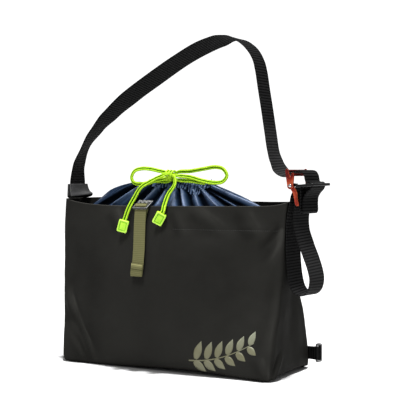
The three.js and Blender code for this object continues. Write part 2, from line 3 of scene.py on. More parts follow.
import bmesh
import bpy
import numpy as np
from mathutils import Matrix, Vector, noise
from mathutils.bvhtree import BVHTree


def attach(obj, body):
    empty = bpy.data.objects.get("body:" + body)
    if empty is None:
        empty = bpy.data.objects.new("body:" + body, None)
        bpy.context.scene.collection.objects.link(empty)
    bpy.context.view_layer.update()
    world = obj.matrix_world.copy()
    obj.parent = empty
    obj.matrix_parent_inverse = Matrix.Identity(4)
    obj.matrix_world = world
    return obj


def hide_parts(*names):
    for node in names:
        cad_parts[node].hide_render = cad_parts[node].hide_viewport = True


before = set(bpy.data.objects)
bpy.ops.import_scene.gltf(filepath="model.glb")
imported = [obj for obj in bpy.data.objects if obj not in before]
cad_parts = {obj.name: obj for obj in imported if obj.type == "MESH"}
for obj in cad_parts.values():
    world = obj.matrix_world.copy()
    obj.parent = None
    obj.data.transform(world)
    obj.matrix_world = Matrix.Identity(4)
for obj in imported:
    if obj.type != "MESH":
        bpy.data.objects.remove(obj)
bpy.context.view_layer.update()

mm = 0.001
scene = bpy.context.scene
scene.view_settings.view_transform = "Standard"
print("frame loaded:", len(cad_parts), "nodes")

# camera, at the photograph's place and angle
cameraSet = {"place": (1.001, -1.742, 0.374), "turn": 29.03, "down": 1.73, "lens": 94.95, "sensor": 36.0,
             "clip": 150.0}
cameraData = bpy.data.cameras.new("photoCamera")
cameraData.lens = cameraSet["lens"]
cameraData.sensor_width = cameraSet["sensor"]
cameraData.clip_end = cameraSet["clip"]
camera = bpy.data.objects.new("photoCamera", cameraData)
camera.location = cameraSet["place"]
camera.rotation_euler = (math.radians(90.0 - cameraSet["down"]), 0.0, math.radians(cameraSet["turn"]))
scene.collection.objects.link(camera)
scene.camera = camera


# shaping helpers
def smoothLine(points, perSpan):
    # centripetal curve through the points; returns the places and each place's span number
    points = np.array(points, float)
    ends = np.vstack([2 * points[0] - points[1], points, 2 * points[-1] - points[-2]])
    places, spans = [], []
    for i in range(len(points) - 1):
        p0, p1, p2, p3 = ends[i:i + 4]
        d0, d1, d2 = (max(np.linalg.norm(b - a) ** 0.5, 1e-6) for a, b in ((p0, p1), (p1, p2), (p2, p3)))
        t1 = ((p1 - p0) / d0 - (p2 - p0) / (d0 + d1) + (p2 - p1) / d1) * d1
        t2 = ((p2 - p1) / d1 - (p3 - p1) / (d1 + d2) + (p3 - p2) / d2) * d1
        for k in range(perSpan + (i == len(points) - 2)):
            t = k / perSpan
            places.append((2 * t**3 - 3 * t**2 + 1) * p1 + (t**3 - 2 * t**2 + t) * t1
                          + (3 * t**2 - 2 * t**3) * p2 + (t**3 - t**2) * t2)
            spans.append(i + t)
    return np.array(places), np.array(spans)


def lengthsAlong(places):
    # distance of each place from the first, along the line
    return np.concatenate([[0], np.cumsum(np.linalg.norm(np.diff(places, axis=0), axis=1))])


def evenSteps(places, step, *others):
    # the same line at even distances, with other values carried along
    lengths = lengthsAlong(places)
    count = max(4, int(round(lengths[-1] / step)))
    at = np.linspace(0, lengths[-1], count + 1)
    even = np.stack([np.interp(at, lengths, places[:, k]) for k in range(3)], axis=1)
    return even, at, [np.interp(at, lengths, other) for other in others]


def unit(rows):
    return rows / np.linalg.norm(rows, axis=1, keepdims=True)


def tangents(places):
    return unit(np.gradient(places, axis=0))


def besideRun(run):
    # across a run, in the plane of X and Z
    return np.stack([-run[:, 2], np.zeros(len(run)), run[:, 0]], axis=1)


def eased(values, spans):
    values = np.array(values, float)
    low = np.minimum(spans.astype(int), len(values) - 2)
    t = spans - low
    t = t * t * (3 - 2 * t)
    return values[low] * (1 - t) + values[low + 1] * t


def rise(values, start, reach):
    # 0 up to start, 1 from a reach beyond it
    return np.clip((values - start) / reach, 0, 1)


def fall(values, end, reach):
    # 1 until a reach before end, 0 from end on
    return np.clip((end - values) / reach, 0, 1)


def bell(values, middle, wide):
    return np.exp(-(((values - middle) / wide) ** 2))


def smoothed(values, half):
    # mean over a window that reaches half to each side
    window = np.ones(2 * half + 1) / (2 * half + 1)
    return np.convolve(np.pad(values, half, mode="edge"), window, mode="valid")


def noiseAt(points, size):
    return np.array([noise.noise(Vector(point / size)) for point in points])


def addObject(name, data):
    obj = bpy.data.objects.new(name, data)
    scene.collection.objects.link(obj)
    return obj


def mendMesh(mesh, weld=False, outward=True):
    # weld joins vertices at one place, outward turns the faces out
    work = bmesh.new()
    work.from_mesh(mesh)
    if weld:
        bmesh.ops.remove_doubles(work, verts=work.verts, dist=1e-6)
    if outward:
        bmesh.ops.recalc_face_normals(work, faces=work.faces)
    work.to_mesh(mesh)
    work.free()


def makeObject(name, vertices, faces, uvs=None):
    mesh = bpy.data.meshes.new(name)
    mesh.from_pydata([tuple(v) for v in vertices], [], faces)
    if uvs is not None:
        layer = mesh.uv_layers.new(name="UVMap")
        layer.data.foreach_set("uv", np.array(uvs, np.float32).ravel())
    mesh.validate()
    mendMesh(mesh)
    mesh.polygons.foreach_set("use_smooth", [True] * len(mesh.polygons))
    return addObject(name, mesh)


def gridFaces(rows, columns):
    faces = []
    for r in range(rows - 1):
        for c in range(columns):
            d = (c + 1) % columns
            faces.append((r * columns + c, r * columns + d, (r + 1) * columns + d, (r + 1) * columns + c))
    return faces


def gridObject(name, grid, uvGrid=None, caps=True):
    # a skin over rings of points; uvGrid has one more column than grid, for the seam
    rows, columns = grid.shape[:2]
    faces = gridFaces(rows, columns)
    uvs = []
    if uvGrid is not None:
        for r in range(rows - 1):
            for c in range(columns):
                uvs += [uvGrid[r, c], uvGrid[r, c + 1], uvGrid[r + 1, c + 1], uvGrid[r + 1, c]]
    for row in ((0, rows - 1) if caps else ()):
        faces.append(tuple(row * columns + c for c in range(columns)))
        if uvGrid is not None:
            uvs += [uvGrid[row, c] for c in range(columns)]
    return makeObject(name, grid.reshape(-1, 3), faces, uvs if uvGrid is not None else None)


def meshOnly(obj):
    mesh = obj.data
    bpy.data.objects.remove(obj)
    return mesh


def joinMeshes(name, meshes):
    work = bmesh.new()
    for mesh in meshes:
        work.from_mesh(mesh)
    joined = bpy.data.meshes.new(name)
    work.to_mesh(joined)
    work.free()
    return addObject(name, joined)


def treeOf(obj):
    # for rays against a finished piece
    return BVHTree.FromPolygons([v.co.copy() for v in obj.data.vertices],
                                [tuple(p.vertices) for p in obj.data.polygons])


def place(obj, body, nodes, material):
    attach(obj, body)
    if nodes:
        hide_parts(*nodes)
    obj.data.materials.clear()
    obj.data.materials.append(material)


# heights kept on a mesh, one for each vertex, which the materials turn into tones; most of them are painted
# shade and painted highlight
paleEdgeSet = {"facing": 0.97, "sharp": 20.0}


def keepHeights(obj, heights, low=0.0):
    layer = obj.data.attributes.new("foldHeight", "FLOAT", "POINT")
    layer.data.foreach_set("value", np.clip(heights, low, 1).astype(np.float32))


def wornAndLitEdges(obj, degrees, axis, strip, flat=0.0):
    # edges past an angle are shaded sharp; heights are 1 along the edges of the faces that look along axis,
    # and flat inside a strip in millimetres; the pale edges are partly wear and partly a painted highlight
    obj.data.polygons.foreach_set("use_smooth", [True] * len(obj.data.polygons))
    obj.data.set_sharp_from_angle(angle=math.radians(degrees))
    work = bmesh.new()
    work.from_mesh(obj.data)
    caps = [face for face in work.faces if abs(face.normal.dot(axis)) > paleEdgeSet["facing"]]
    bmesh.ops.inset_region(work, faces=caps, thickness=strip * mm, use_even_offset=True)
    work.verts.index_update()
    sharp = set()
    for edge in work.edges:
        if edge.is_manifold and math.radians(paleEdgeSet["sharp"]) < edge.calc_face_angle():
            sharp.update(vertex.index for vertex in edge.verts)
    work.to_mesh(obj.data)
    count = len(work.verts)
    work.free()
    keepHeights(obj, np.array([1.0 if i in sharp else flat for i in range(count)]))
    return obj


# material helpers
def startMaterial(name):
    material = bpy.data.materials.new(name)
    material.use_nodes = True
    tree = material.node_tree
    return material, tree, tree.nodes["Principled BSDF"]


def feed(tree, node, values):
    # an output of another node is linked, a plain value is set
    for key, value in values.items():
        if isinstance(value, bpy.types.NodeSocket):
            tree.links.new(value, node.inputs[key])
        else:
            node.inputs[key].default_value = value


def addNode(tree, kind, values=None, **settings):
    node = tree.nodes.new(kind)
    for key, value in settings.items():
        setattr(node, key, value)
    feed(tree, node, values or {})
    return node


def coordinates(tree, kind="Object", scale=(1, 1, 1), turn=(0, 0, 0)):
    source = addNode(tree, "ShaderNodeTexCoord").outputs[kind]
    values = {"Vector": source, "Scale": scale, "Rotation": turn}
    return addNode(tree, "ShaderNodeMapping", values).outputs["Vector"]


def noiseOf(tree, vector, scale, detail=3.0, roughness=0.5):
    values = {"Vector": vector, "Scale": scale, "Detail": detail, "Roughness": roughness}
    return addNode(tree, "ShaderNodeTexNoise", values).outputs["Fac"]


def rampOf(tree, factor, stops):
    node = addNode(tree, "ShaderNodeValToRGB", {"Fac": factor})
    ramp = node.color_ramp
    while len(ramp.elements) < len(stops):
        ramp.elements.new(0.5)
    for element, (position, colour) in zip(ramp.elements, stops):
        element.position = position
        element.color = (*colour, 1.0)
    return node.outputs["Color"]


def rangeOf(tree, factor, low, high):
    values = {"Value": factor, "To Min": low, "To Max": high}
    return addNode(tree, "ShaderNodeMapRange", values).outputs["Result"]


def waveOf(tree, vector, scale, direction, distortion=0.0):
    values = {"Vector": vector, "Scale": scale, "Distortion": distortion}
    node = addNode(tree, "ShaderNodeTexWave", values, bands_direction=direction, wave_profile="SIN")
    return node.outputs["Fac"]


def mathOf(tree, operation, a, b=0.0):
    return addNode(tree, "ShaderNodeMath", {0: a, 1: b}, operation=operation).outputs["Value"]


def sumOf(tree, *shares):
    # outputs added up, each with its share
    total = None
    for value, share in shares:
        part = mathOf(tree, "MULTIPLY", value, share)
        total = part if total is None else mathOf(tree, "ADD", total, part)
    return total


def bumpOf(tree, height, strength, distance, under=None):
    values = {"Height": height, "Strength": strength, "Distance": distance}
    if under is not None:
        values["Normal"] = under
    return addNode(tree, "ShaderNodeBump", values).outputs["Normal"]


def foldTone(tree):
    return addNode(tree, "ShaderNodeAttribute", attribute_name="foldHeight").outputs["Fac"]


def axisOf(tree, vector, axis):
    return addNode(tree, "ShaderNodeSeparateXYZ", {"Vector": vector}).outputs[axis]


def tinted(colour, share):
    return tuple(share * value for value in colour)


def coatedCloth(name, dark, light, rough, shade=0.45):
    # coated cloth: soft patches of tone, the kept heights as painted shade and painted highlight, a fine
    # twill under the coat
    material, tree, shader = startMaterial(name)
    vector = coordinates(tree)
    tone = sumOf(tree, (noiseOf(tree, vector, 9.0, 4.0, 0.55), 0.5), (foldTone(tree), 0.5))
    stops = [(0.06, tinted(dark, shade)), (0.3, dark), (0.55, light), (0.95, tinted(light, 2.6))]
    slack = bumpOf(tree, noiseOf(tree, vector, 34.0, 4.0), 0.25, 0.002)
    twill = waveOf(tree, vector, 620.0, "DIAGONAL", 0.4)
    weave = mathOf(tree, "ADD", twill, noiseOf(tree, vector, 900.0, 2.0))
    feed(tree, shader, {
        "Base Color": rampOf(tree, tone, stops),
        "Roughness": rangeOf(tree, noiseOf(tree, vector, 26.0), *rough),
        "Normal": bumpOf(tree, weave, 0.12, 0.0002, slack),
        "Specular IOR Level": 0.008,
    })
    return material


def linerNylon():
    # thin glossy nylon; from the folds' height, painted shade in the hollows and a painted highlight on the
    # ridges; the hollows are also duller
    material, tree, shader = startMaterial("navyNylon")
    vector = coordinates(tree)
    folds = foldTone(tree)
    tone = sumOf(tree, (folds, 0.85), (noiseOf(tree, vector, 30.0, 4.0), 0.3))
    stops = [(0.18, (0.0008, 0.0022, 0.0045)), (0.45, (0.01, 0.021, 0.044)),
             (0.68, (0.037, 0.067, 0.13)), (0.95, (0.16, 0.21, 0.33))]
    crinkle = bumpOf(tree, noiseOf(tree, vector, 150.0, 5.0, 0.6), 0.2, 0.0012)
    weave = waveOf(tree, vector, 900.0, "DIAGONAL", 0.3)
    feed(tree, shader, {
        "Base Color": rampOf(tree, tone, stops),
        "Roughness": rangeOf(tree, noiseOf(tree, vector, 80.0), 0.26, 0.42),
        "Normal": bumpOf(tree, weave, 0.08, 0.0001, crinkle),
        "Sheen Weight": 0.04,
        "Sheen Tint": (0.55, 0.6, 0.95, 1.0),
        "Specular IOR Level": rangeOf(tree, folds, 0.0, 0.16),
    })
    return material


def webbingCloth(name, groove, rib, rough, pitch, sheen):
    # woven band: painted shade in the grooves between the modelled ribs, fine yarns on them, and the kept
    # band tones, painted shade and painted light; UV is in metres, across and along
    material, tree, shader = startMaterial(name)
    vector = coordinates(tree, "UV")
    turns = mathOf(tree, "MULTIPLY", axisOf(tree, vector, "Y"), math.pi / (pitch * mm))
    ribs = mathOf(tree, "ABSOLUTE", mathOf(tree, "SINE", turns))
    yarn = waveOf(tree, vector, 330.0, "X", 0.8)
    faded = noiseOf(tree, vector, 60.0, 4.0)
    tone = sumOf(tree, (ribs, 0.72), (yarn, 0.1), (faded, 0.24), (foldTone(tree), 0.5))
    stops = [(0.01, tinted(groove, 0.4)), (0.08, groove), (0.18, groove), (0.57, rib),
             (0.86, tinted(rib, 2.2))]
    feed(tree, shader, {
        "Base Color": rampOf(tree, mathOf(tree, "MULTIPLY", tone, 0.6), stops),
        "Roughness": rangeOf(tree, noiseOf(tree, vector, 220.0), *rough),
        "Normal": bumpOf(tree, mathOf(tree, "MULTIPLY", yarn, ribs), 0.4, 0.0003),
        "Sheen Weight": sheen,
        "Specular IOR Level": 0.02,
    })
    return material


def paintedMetal(name, dark, light, wearAndHighlight, rough, metallic):
    # anodised or painted metal with faint brushing, paler along its edges: partly rubbed wear, partly a
    # painted highlight
    material, tree, shader = startMaterial(name)
    brushed = noiseOf(tree, coordinates(tree, scale=(300, 4000, 300)), 1.0, 2.0)
    tone = sumOf(tree, (noiseOf(tree, coordinates(tree), 70.0), 0.4), (foldTone(tree), 0.5))
    feed(tree, shader, {
        "Base Color": rampOf(tree, tone, [(0.2, dark), (0.45, light), (0.85, wearAndHighlight)]),
        "Roughness": rangeOf(tree, brushed, *rough),
        "Normal": bumpOf(tree, brushed, 0.08, 0.0001),
        "Metallic": metallic,
    })
    return material


def mouldedPlastic(name, dark, light, wearAndHighlight, rough, grain, shine=0.5):
    # moulded plastic: the kept heights make the edges paler, partly wear and partly a painted highlight
    material, tree, shader = startMaterial(name)
    vector = coordinates(tree)
    tone = sumOf(tree, (noiseOf(tree, vector, 90.0), 0.4), (foldTone(tree), 0.7))
    feed(tree, shader, {
        "Base Color": rampOf(tree, tone, [(0.15, dark), (0.4, light), (0.9, wearAndHighlight)]),
        "Roughness": rangeOf(tree, noiseOf(tree, vector, 300.0), *rough),
        "Normal": bumpOf(tree, noiseOf(tree, vector, 1800.0, 2.0), grain, 0.0001),
        "Specular IOR Level": shine,
    })
    return material


def braidedCord():
    # two sets of yarns that cross, with painted shade along the seam between two strands
    material, tree, shader = startMaterial("limeCord")
    vector = coordinates(tree, "UV")
    yarns = [waveOf(tree, coordinates(tree, "UV", turn=(0, 0, turn)), 330.0, "X") for turn in (0.8, -0.8)]
    braid = mathOf(tree, "MAXIMUM", *yarns)
    mottled = sumOf(tree, (braid, 0.5), (noiseOf(tree, vector, 90.0), 0.5))
    stops = [(0.05, (0.06, 0.19, 0.0)), (0.4, (0.27, 0.54, 0.01)), (0.8, (0.52, 0.77, 0.04))]
    feed(tree, shader, {
        "Base Color": rampOf(tree, mathOf(tree, "MULTIPLY", mottled, foldTone(tree)), stops),
        "Roughness": rangeOf(tree, noiseOf(tree, vector, 200.0), 0.55, 0.75),
        "Normal": bumpOf(tree, braid, 0.6, 0.0004),
        "Specular IOR Level": 0.1,
    })
    return material


def printInk():
    # flat ink on the cloth, olive below and sage above, over the lowest 0.1 m
    material, tree, shader = startMaterial("printInk")
    vector = coordinates(tree)
    values = {"Value": axisOf(tree, vector, "Z"), "From Min": 0.0, "From Max": 0.1}
    height = addNode(tree, "ShaderNodeMapRange", values).outputs["Result"]
    tone = sumOf(tree, (height, 1.0), (noiseOf(tree, vector, 70.0, 4.0), 0.25))
    stops = [(0.15, (0.15, 0.15, 0.095)), (0.55, (0.135, 0.13, 0.07)), (0.95, (0.2, 0.21, 0.15))]
    feed(tree, shader, {
        "Base Color": rampOf(tree, tone, stops),
        "Roughness": rangeOf(tree, noiseOf(tree, vector, 200.0), 0.5, 0.62),
        "Normal": bumpOf(tree, noiseOf(tree, vector, 900.0, 2.0), 0.1, 0.0001),
    })
    return material


charcoalCloth = coatedCloth("charcoalCloth", (0.0165, 0.0162, 0.0147), (0.0217, 0.0213, 0.0194), (0.42, 0.54))
cuffCloth = coatedCloth("cuffCloth", (0.088, 0.088, 0.089), (0.115, 0.115, 0.116), (0.38, 0.5), shade=0.06)
navyNylon = linerNylon()
blackWebbing = webbingCloth("blackWebbing", (0.0008, 0.0008, 0.0009), (0.016, 0.016, 0.0162), (0.55, 0.75),
                            pitch=5.3, sheen=0.0)
oliveWebbing = webbingCloth("oliveWebbing", (0.11, 0.107, 0.047), (0.155, 0.15, 0.068), (0.6, 0.8),
                            pitch=3.4, sheen=0.03)
orangeMetal = paintedMetal("orangeMetal", (0.14, 0.006, 0.007), (0.42, 0.042, 0.02), (0.78, 0.17, 0.06),
                           (0.16, 0.3), metallic=0.65)
brightMetal = paintedMetal("brightMetal", (0.5, 0.5, 0.5), (0.65, 0.65, 0.65), (0.85, 0.85, 0.85),
                           (0.16, 0.3), metallic=1.0)
blackMetal = paintedMetal("blackMetal", (0.004, 0.004, 0.0045), (0.008, 0.008, 0.0085), (0.16, 0.165, 0.165),
                          (0.3, 0.48), metallic=0.5)
blackPlastic = mouldedPlastic("blackPlastic", (0.004, 0.004, 0.0045), (0.008, 0.008, 0.0085), (0.3, 0.3, 0.3),
                              (0.26, 0.42), grain=0.15, shine=0.3)
greenPlastic = mouldedPlastic("greenPlastic", (0.1, 0.38, 0.008), (0.44, 0.83, 0.03), (0.72, 0.97, 0.22),
                              (0.3, 0.45), grain=0.12, shine=0.25)
limeCord = braidedCord()
darkThread = mouldedPlastic("darkThread", (0.02, 0.02, 0.02), (0.05, 0.05, 0.05), (0.07, 0.07, 0.07),
                            (0.6, 0.8), grain=0.3)
ink = printInk()
print("materials ready")

# drawcord: two doubled cords through one bow knot; routes in millimetres, as in the solids
cordSet = {"diameter": 3.9, "spacing": 3.95, "sides": 20, "ring": 0.7, "braid": 0.13, "braidPitch": 5.2,
           "yarns": 4, "braidSink": 0.6, "knotReach": 15.0, "knotSqueeze": 0.45, "knotEase": 7,
           "leastBeside": 0.05, "seam": 3.2, "seamDark": 0.4, "plain": 0.7, "perSpan": 40,
           "tailFront": -55.0, "tailEase": 12.0, "tailWider": 0.3, "loopTurn": 22.0}
knotSet = {"middle": (-4.5, -39.0, 360.0), "halfDepth": 8.2, "halfHeight": 9.6, "taper": 0.4,
           "wraps": (-7.2, -2.4, 2.3), "leans": (-0.1, 0.05, 0.32), "points": 120}
loopRight = [(4, -34, 366), (34, -36, 368.5), (61, -37, 372.5), (88, -36, 376), (103, -36, 372),
             (110, -36, 360), (103, -39, 349.5), (86, -42, 347.5), (62, -44.5, 351.5), (38, -44, 357.5),
             (4, -41, 360.5)]
loopLeft = [(-13, -34, 363.5), (-35, -40, 369.5), (-54, -43, 373), (-68, -46, 373), (-82, -47, 368.5),
            (-88, -48, 357), (-84, -49, 348), (-73, -49, 344), (-55, -47, 345.5), (-35, -44, 351),
            (-13, -41, 356)]
tailLeft = [(-8, -50, 363), (-25, -53, 357), (-42, -57, 348.5), (-59, -61, 338), (-70, -67, 318),
            (-77, -76, 298), (-81, -83, 278), (-82.2, -85.5, 272)]
tailRight = [(6, -49, 358), (11, -55, 344), (2, -63, 325), (0.4, -75, 305), (2.6, -83.2, 295),
             (0.6, -85.5, 289)]
leadRight = [(66, -37.5, 346.5), (39, -39, 350), (4, -37, 353)]
leadLeft = [(-54, -39.5, 349), (-36, -38.5, 349.5), (-13, -36, 350)]


def cordTube(name, line, inner=None):
    # a round cord with a fine two-way braid standing out of its skin
    radius = cordSet["diameter"] / 2
    run = tangents(line)
    side = unit(np.cross(run, np.array([0.0, 1.0, 0.0])))
    over = np.cross(side, run)
    along = lengthsAlong(line)
    angle = np.linspace(0, 2 * math.pi, cordSet["sides"] + 1)
    turns = 2 * math.pi * along[:, None] / cordSet["braidPitch"]
    yarns = cordSet["yarns"] * angle[None]
    braid = np.maximum(np.sin(yarns + turns), np.sin(yarns - turns))
    reach = radius + cordSet["braid"] * (braid - cordSet["braidSink"])
    skin = (line[:, None] + reach[..., None] * (np.cos(angle)[None, :, None] * side[:, None]
                                                + np.sin(angle)[None, :, None] * over[:, None]))
    uv = np.stack(np.broadcast_arrays(angle[None] * radius * mm, along[:, None] * mm), axis=2)
    tube = gridObject(name, skin[:, :-1] * mm, uv)
    # inner is the direction of the strand beside it; the seam there gets painted shade
    away = np.full((len(line), len(angle) - 1), cordSet["plain"])
    if inner is not None:
        away = 0.5 - 0.5 * np.cos(angle[None, :-1] - inner[:, None])
    keepHeights(tube, (cordSet["seam"] * away - cordSet["seamDark"]).ravel())
    return tube


def strandLine(route, side):
    # one strand of a doubled cord: the route moved sideways in the plane of the bow, closer in the knot
    line, _ = smoothLine(route, cordSet["perSpan"])
    line, _, _ = evenSteps(line, cordSet["ring"])
    beside = besideRun(tangents(line))
    beside /= np.maximum(np.linalg.norm(beside, axis=1, keepdims=True), cordSet["leastBeside"])
    inKnot = np.linalg.norm(line - np.array(knotSet["middle"]), axis=1) < cordSet["knotReach"]
    share = smoothed(np.where(inKnot, cordSet["knotSqueeze"], 1.0), cordSet["knotEase"])
    inTail = fall(line[:, 1], cordSet["tailFront"], cordSet["tailEase"])
    share *= 1 + cordSet["tailWider"] * inTail
    turned = math.radians(cordSet["loopTurn"]) * (1 - inTail)
    beside = beside * np.cos(turned)[:, None] - np.sin(turned)[:, None] * np.array([0.0, 1.0, 0.0])
    line = line + side * beside * share[:, None] * cordSet["spacing"] / 2
    line, _, (turned,) = evenSteps(line, cordSet["ring"], turned)
    return line, (math.pi if side > 0 else 0.0) - turned


knotIn, knotOut = (-4, -37.5, 358.5), (-3, -44, 360.5)
knotInLeft, knotOutLeft = (-5, -37, 357), (-2.5, -45, 362.5)
cordRoutes = {
    "cordRight": leadRight + [knotIn] + loopLeft + [knotOut] + tailRight,
    "cordLeft": leadLeft + [knotInLeft] + loopRight + [knotOutLeft] + tailLeft,
}
cordNodes = {"cordRight": ("lead_right", "loop_left", "tail_right", "cord_stop_right"),
             "cordLeft": ("lead_left", "loop_right", "tail_left", "cord_stop_left")}
for cordName, route in cordRoutes.items():
    for letter, side in (("a", 1.0), ("b", -1.0)):
        line, inner = strandLine(route, side)
        strand = cordTube(cordName + "_" + letter, line, inner)
        place(strand, "bag", [node + "_" + letter for node in cordNodes[cordName][:3]], limeCord)


def knotWraps():
    # wraps of cord round the crossing strands, the last one leaning most
    meshes = []
    angle = np.linspace(0, 2 * math.pi, knotSet["points"])
    for number, (shift, lean) in enumerate(zip(knotSet["wraps"], knotSet["leans"])):
        ring = np.stack([shift + lean * knotSet["halfHeight"] * np.sin(angle),
                         knotSet["halfDepth"] * np.cos(angle),
                         (knotSet["halfHeight"] - knotSet["taper"] * number) * np.sin(angle)], axis=1)
        meshes.append(meshOnly(cordTube("knotWrap", np.array(knotSet["middle"]) + ring)))
    return joinMeshes("bowKnot", meshes)


place(knotWraps(), "bag", ["bow_knot"], limeCord)

# cord stops: moulded blocks with a sunk panel and a lip round it
stopSet = {"width": 19.0, "height": 23.0, "thick": 8.5, "corner": 2.6, "leastCorner": 0.7, "lip": 3.0,
           "recess": 1.2, "round": 0.9, "pillow": 0.4}
stopPlaces = [
    {"node": "cord_stop_left", "name": "cordStopLeft", "at": (-83.5, -85.5, 265.6), "swing": 17, "turn": 26},
    {"node": "cord_stop_right", "name": "cordStopRight", "at": (-4, -85.5, 281.5), "swing": 32, "turn": 30},
]


def roundedRing(width, height, corner, perCorner=6):
    points = []
    for cx, cy, start in ((1, -1, -90), (1, 1, 0), (-1, 1, 90), (-1, -1, 180)):
        for k in range(perCorner + 1):
            a = math.radians(start + 90 * k / perCorner)
            points.append((cx * (width / 2 - corner) + corner * math.cos(a),
                           cy * (height / 2 - corner) + corner * math.sin(a)))
    return np.array(points)


def stopBlock(name):
    half, edge, lip = stopSet["thick"] / 2, stopSet["round"], stopSet["lip"]
    floor = half - stopSet["recess"]
    # inset from the outline, depth and tone: panel, its edge, lip and rounded side; the tones are painted
    # shade at the panel's edge and a painted highlight on the lip's rounded edge
    front = [(lip + 2.0, floor + stopSet["pillow"], 0.3), (lip + 0.9, floor, -0.25),
             (lip + 0.1, floor, -0.25), (lip - 0.2, half - 0.2, 0.25), (lip - 0.6, half, 0.4),
             (edge, half, 0.45), (edge * 0.3, half - edge * 0.3, 0.8), (0, half - edge, 0.2)]
    back = [(inset, -depth, tone) for inset, depth, tone in front]
    rings, tones = [], []
    for inset, depth, tone in back + front[::-1]:
        corner = max(stopSet["leastCorner"], stopSet["corner"] - inset)
        ring = roundedRing(stopSet["width"] - 2 * inset, stopSet["height"] - 2 * inset, corner)
        rings.append(np.stack([ring[:, 0], np.full(len(ring), depth), ring[:, 1]], axis=1))
        tones += [tone] * len(ring)
    block = gridObject(name, np.array(rings) * mm)
    keepHeights(block, np.array(tones))
    return block


for stop in stopPlaces:
    block = stopBlock(stop["name"])
    block.data.transform(Matrix.Translation(Vector(stop["at"]) * mm)
                         @ Matrix.Rotation(math.radians(stop["swing"]), 4, "Y")
                         @ Matrix.Rotation(math.radians(stop["turn"]), 4, "Z"))
    place(block, "bag", [stop["node"]], greenPlastic)
print("drawcord and stops made")

# cloth walls: levels of an outline, softened at the corners, as in the solids
wallColumns = ("z", "left", "right", "endFront", "midFront", "endBack", "midBack")
bodySet = {
    "wall": 1.6, "rimSag": 10.0, "rimTwist": 4.0, "rimLean": 0.3, "rightEnd": 24, "frontLift": 9.0,
    "archMiddle": 0.62, "archReach": 0.226, "archHollow": 40.0, "hollowTall": 2.0, "sideLift": 11.0,
    "backLift": 6.0, "counts": (120, 60, 120, 60), "soft": 18, "endBow": 1.2,
    "footRows": (0, 0.7, 1.4, 2, 3.5, 5.5, 8, 11.5, 15, 19, 24), "wallFrom": 28.0, "rowStep": 4.0,
    "hemDrop": 46.0, "hemDepth": 0.5, "hemWidth": 2.2, "hemFrom": 0.0, "hemReach": 60.0,
    "slack": 0.9, "slackSizes": (46.0, 19.0), "slackFoot": 14.0, "slackTop": 0.6, "flatFoot": 10.0,
    "foldEase": 14.0, "foldPast": 0.02, "foldPeak": 1.6, "crease": 0.3, "creaseRange": 4.0, "deepest": -0.5,
    "rimPale": 1.2, "insideDark": 0.7, "insideFrom": -60.0, "insideReach": 140.0, "insideLeast": 0.2,
    "sideDark": 0.85, "cornerPale": 0.5, "cornerAt": 0.55, "cornerWide": 0.22,
    "leftDark": 0.5, "leftFrom": -120.0, "leftReach": 70.0,
    "perLevel": 24, "swell": 4, "fineShare": 0.5, "rimRows": (4, 1.5, 0), "rollTurns": (0.25, 0.5, 0.75),
    "floorIn": (0.55, 0.55, 1), "floorUp": 0.3, "middleIn": (0.08, 0.2, 1), "middleUp": 0.4,
    "underIn": (0.5, 0.5, 1),
}
bodyLevels = [
    (0, -221, 219, -83, -80, 83, 81, 0, 0),
    (2, -224.5, 222.5, -87, -85, 86, 85, 0.6, 0),
    (8, -226, 223.5, -88.5, -87, 87.5, 87, 1, 0),
    (24, -226, 223.5, -88, -88, 87, 88, 0.6, 0),
    (45, -228.5, 223.5, -84, -89, 84, 88, 0.2, 0),
    (75, -233, 223, -75, -91, 77, 88, 0, 0),
    (110, -241, 223.5, -62, -92, 60, 86, 0, 0),
    (150, -249, 223.5, -49, -91, 41, 80, 0, 0),
    (200, -254, 223, -40, -87, 29, 70, 0, 0.1),
    (245, -256.5, 223, -36, -81, 24, 61, 0, 0.35),
    (283, -257, 224.5, -33, -74, 21, 53, 0, 0.7),
    (313, -256, 228, -31, -68, 19, 47, 0, 1),
]
rimLevel = bodyLevels[-1][0]
# soft dents: side, middle along it, height, half sizes along and across, lean, depth inwards
bodyDents = [
    ("front", -196, 70, 60, 14, -38, 5), ("front", -168, 38, 40, 13, -40, 4),
    ("front", 205, 240, 34, 13, 70, 6), ("front", 120, 268, 50, 18, 20, 3),
    ("front", -30, 140, 120, 60, 10, 4), ("right", 5, 120, 70, 24, 80, 4),
    ("back", 60, 190, 90, 40, -25, 6), ("back", -120, 120, 80, 36, 30, 5),
]
# sharper folds: side, start and end (along, height), half width, depth; one flank stands out, the other sinks
bodyFolds = [
    ("front", -222, 124, -160, 24, 6, 4.0), ("front", -212, 84, -186, 50, 5, 2.6),
    ("front", -200, 52, -176, 12, 5, 2.4), ("front", 214, 270, 190, 234, 5, 3.4),
    ("front", -228, 150, -212, 92, 6, 1.4), ("front", 216, 262, 196, 212, 7, 2.4),
    ("front", 222, 210, 205, 60, 9, 1.2), ("front", 60, 300, 118, 262, 9, 2.0),
    ("front", 150, 296, 176, 258, 10, 2.2), ("front", -120, 296, -96, 262, 9, 1.8),
    ("front", 20, 296, 40, 255, 8, 1.1), ("front", 196, 40, 216, 6, 8, 1.8),
    ("right", -82, 2, -50, 42, 5, 3.0), ("right", 30, 10, 10, 90, 14, 0.7),
    ("right", 55, 120, 76, 20, 6, 1.0), ("back", -60, 280, -20, 170, 14, 2.2),
    ("back", 150, 60, 90, 150, 14, 2.4),
    ("left", -10, 60, 20, 170, 12, 2.0), ("left", 30, 20, 0, 90, 10, 1.8),
]
sideInward = {"front": (0, 1, 0), "right": (-1, 0, 0), "back": (0, -1, 0), "left": (1, 0, 0)}


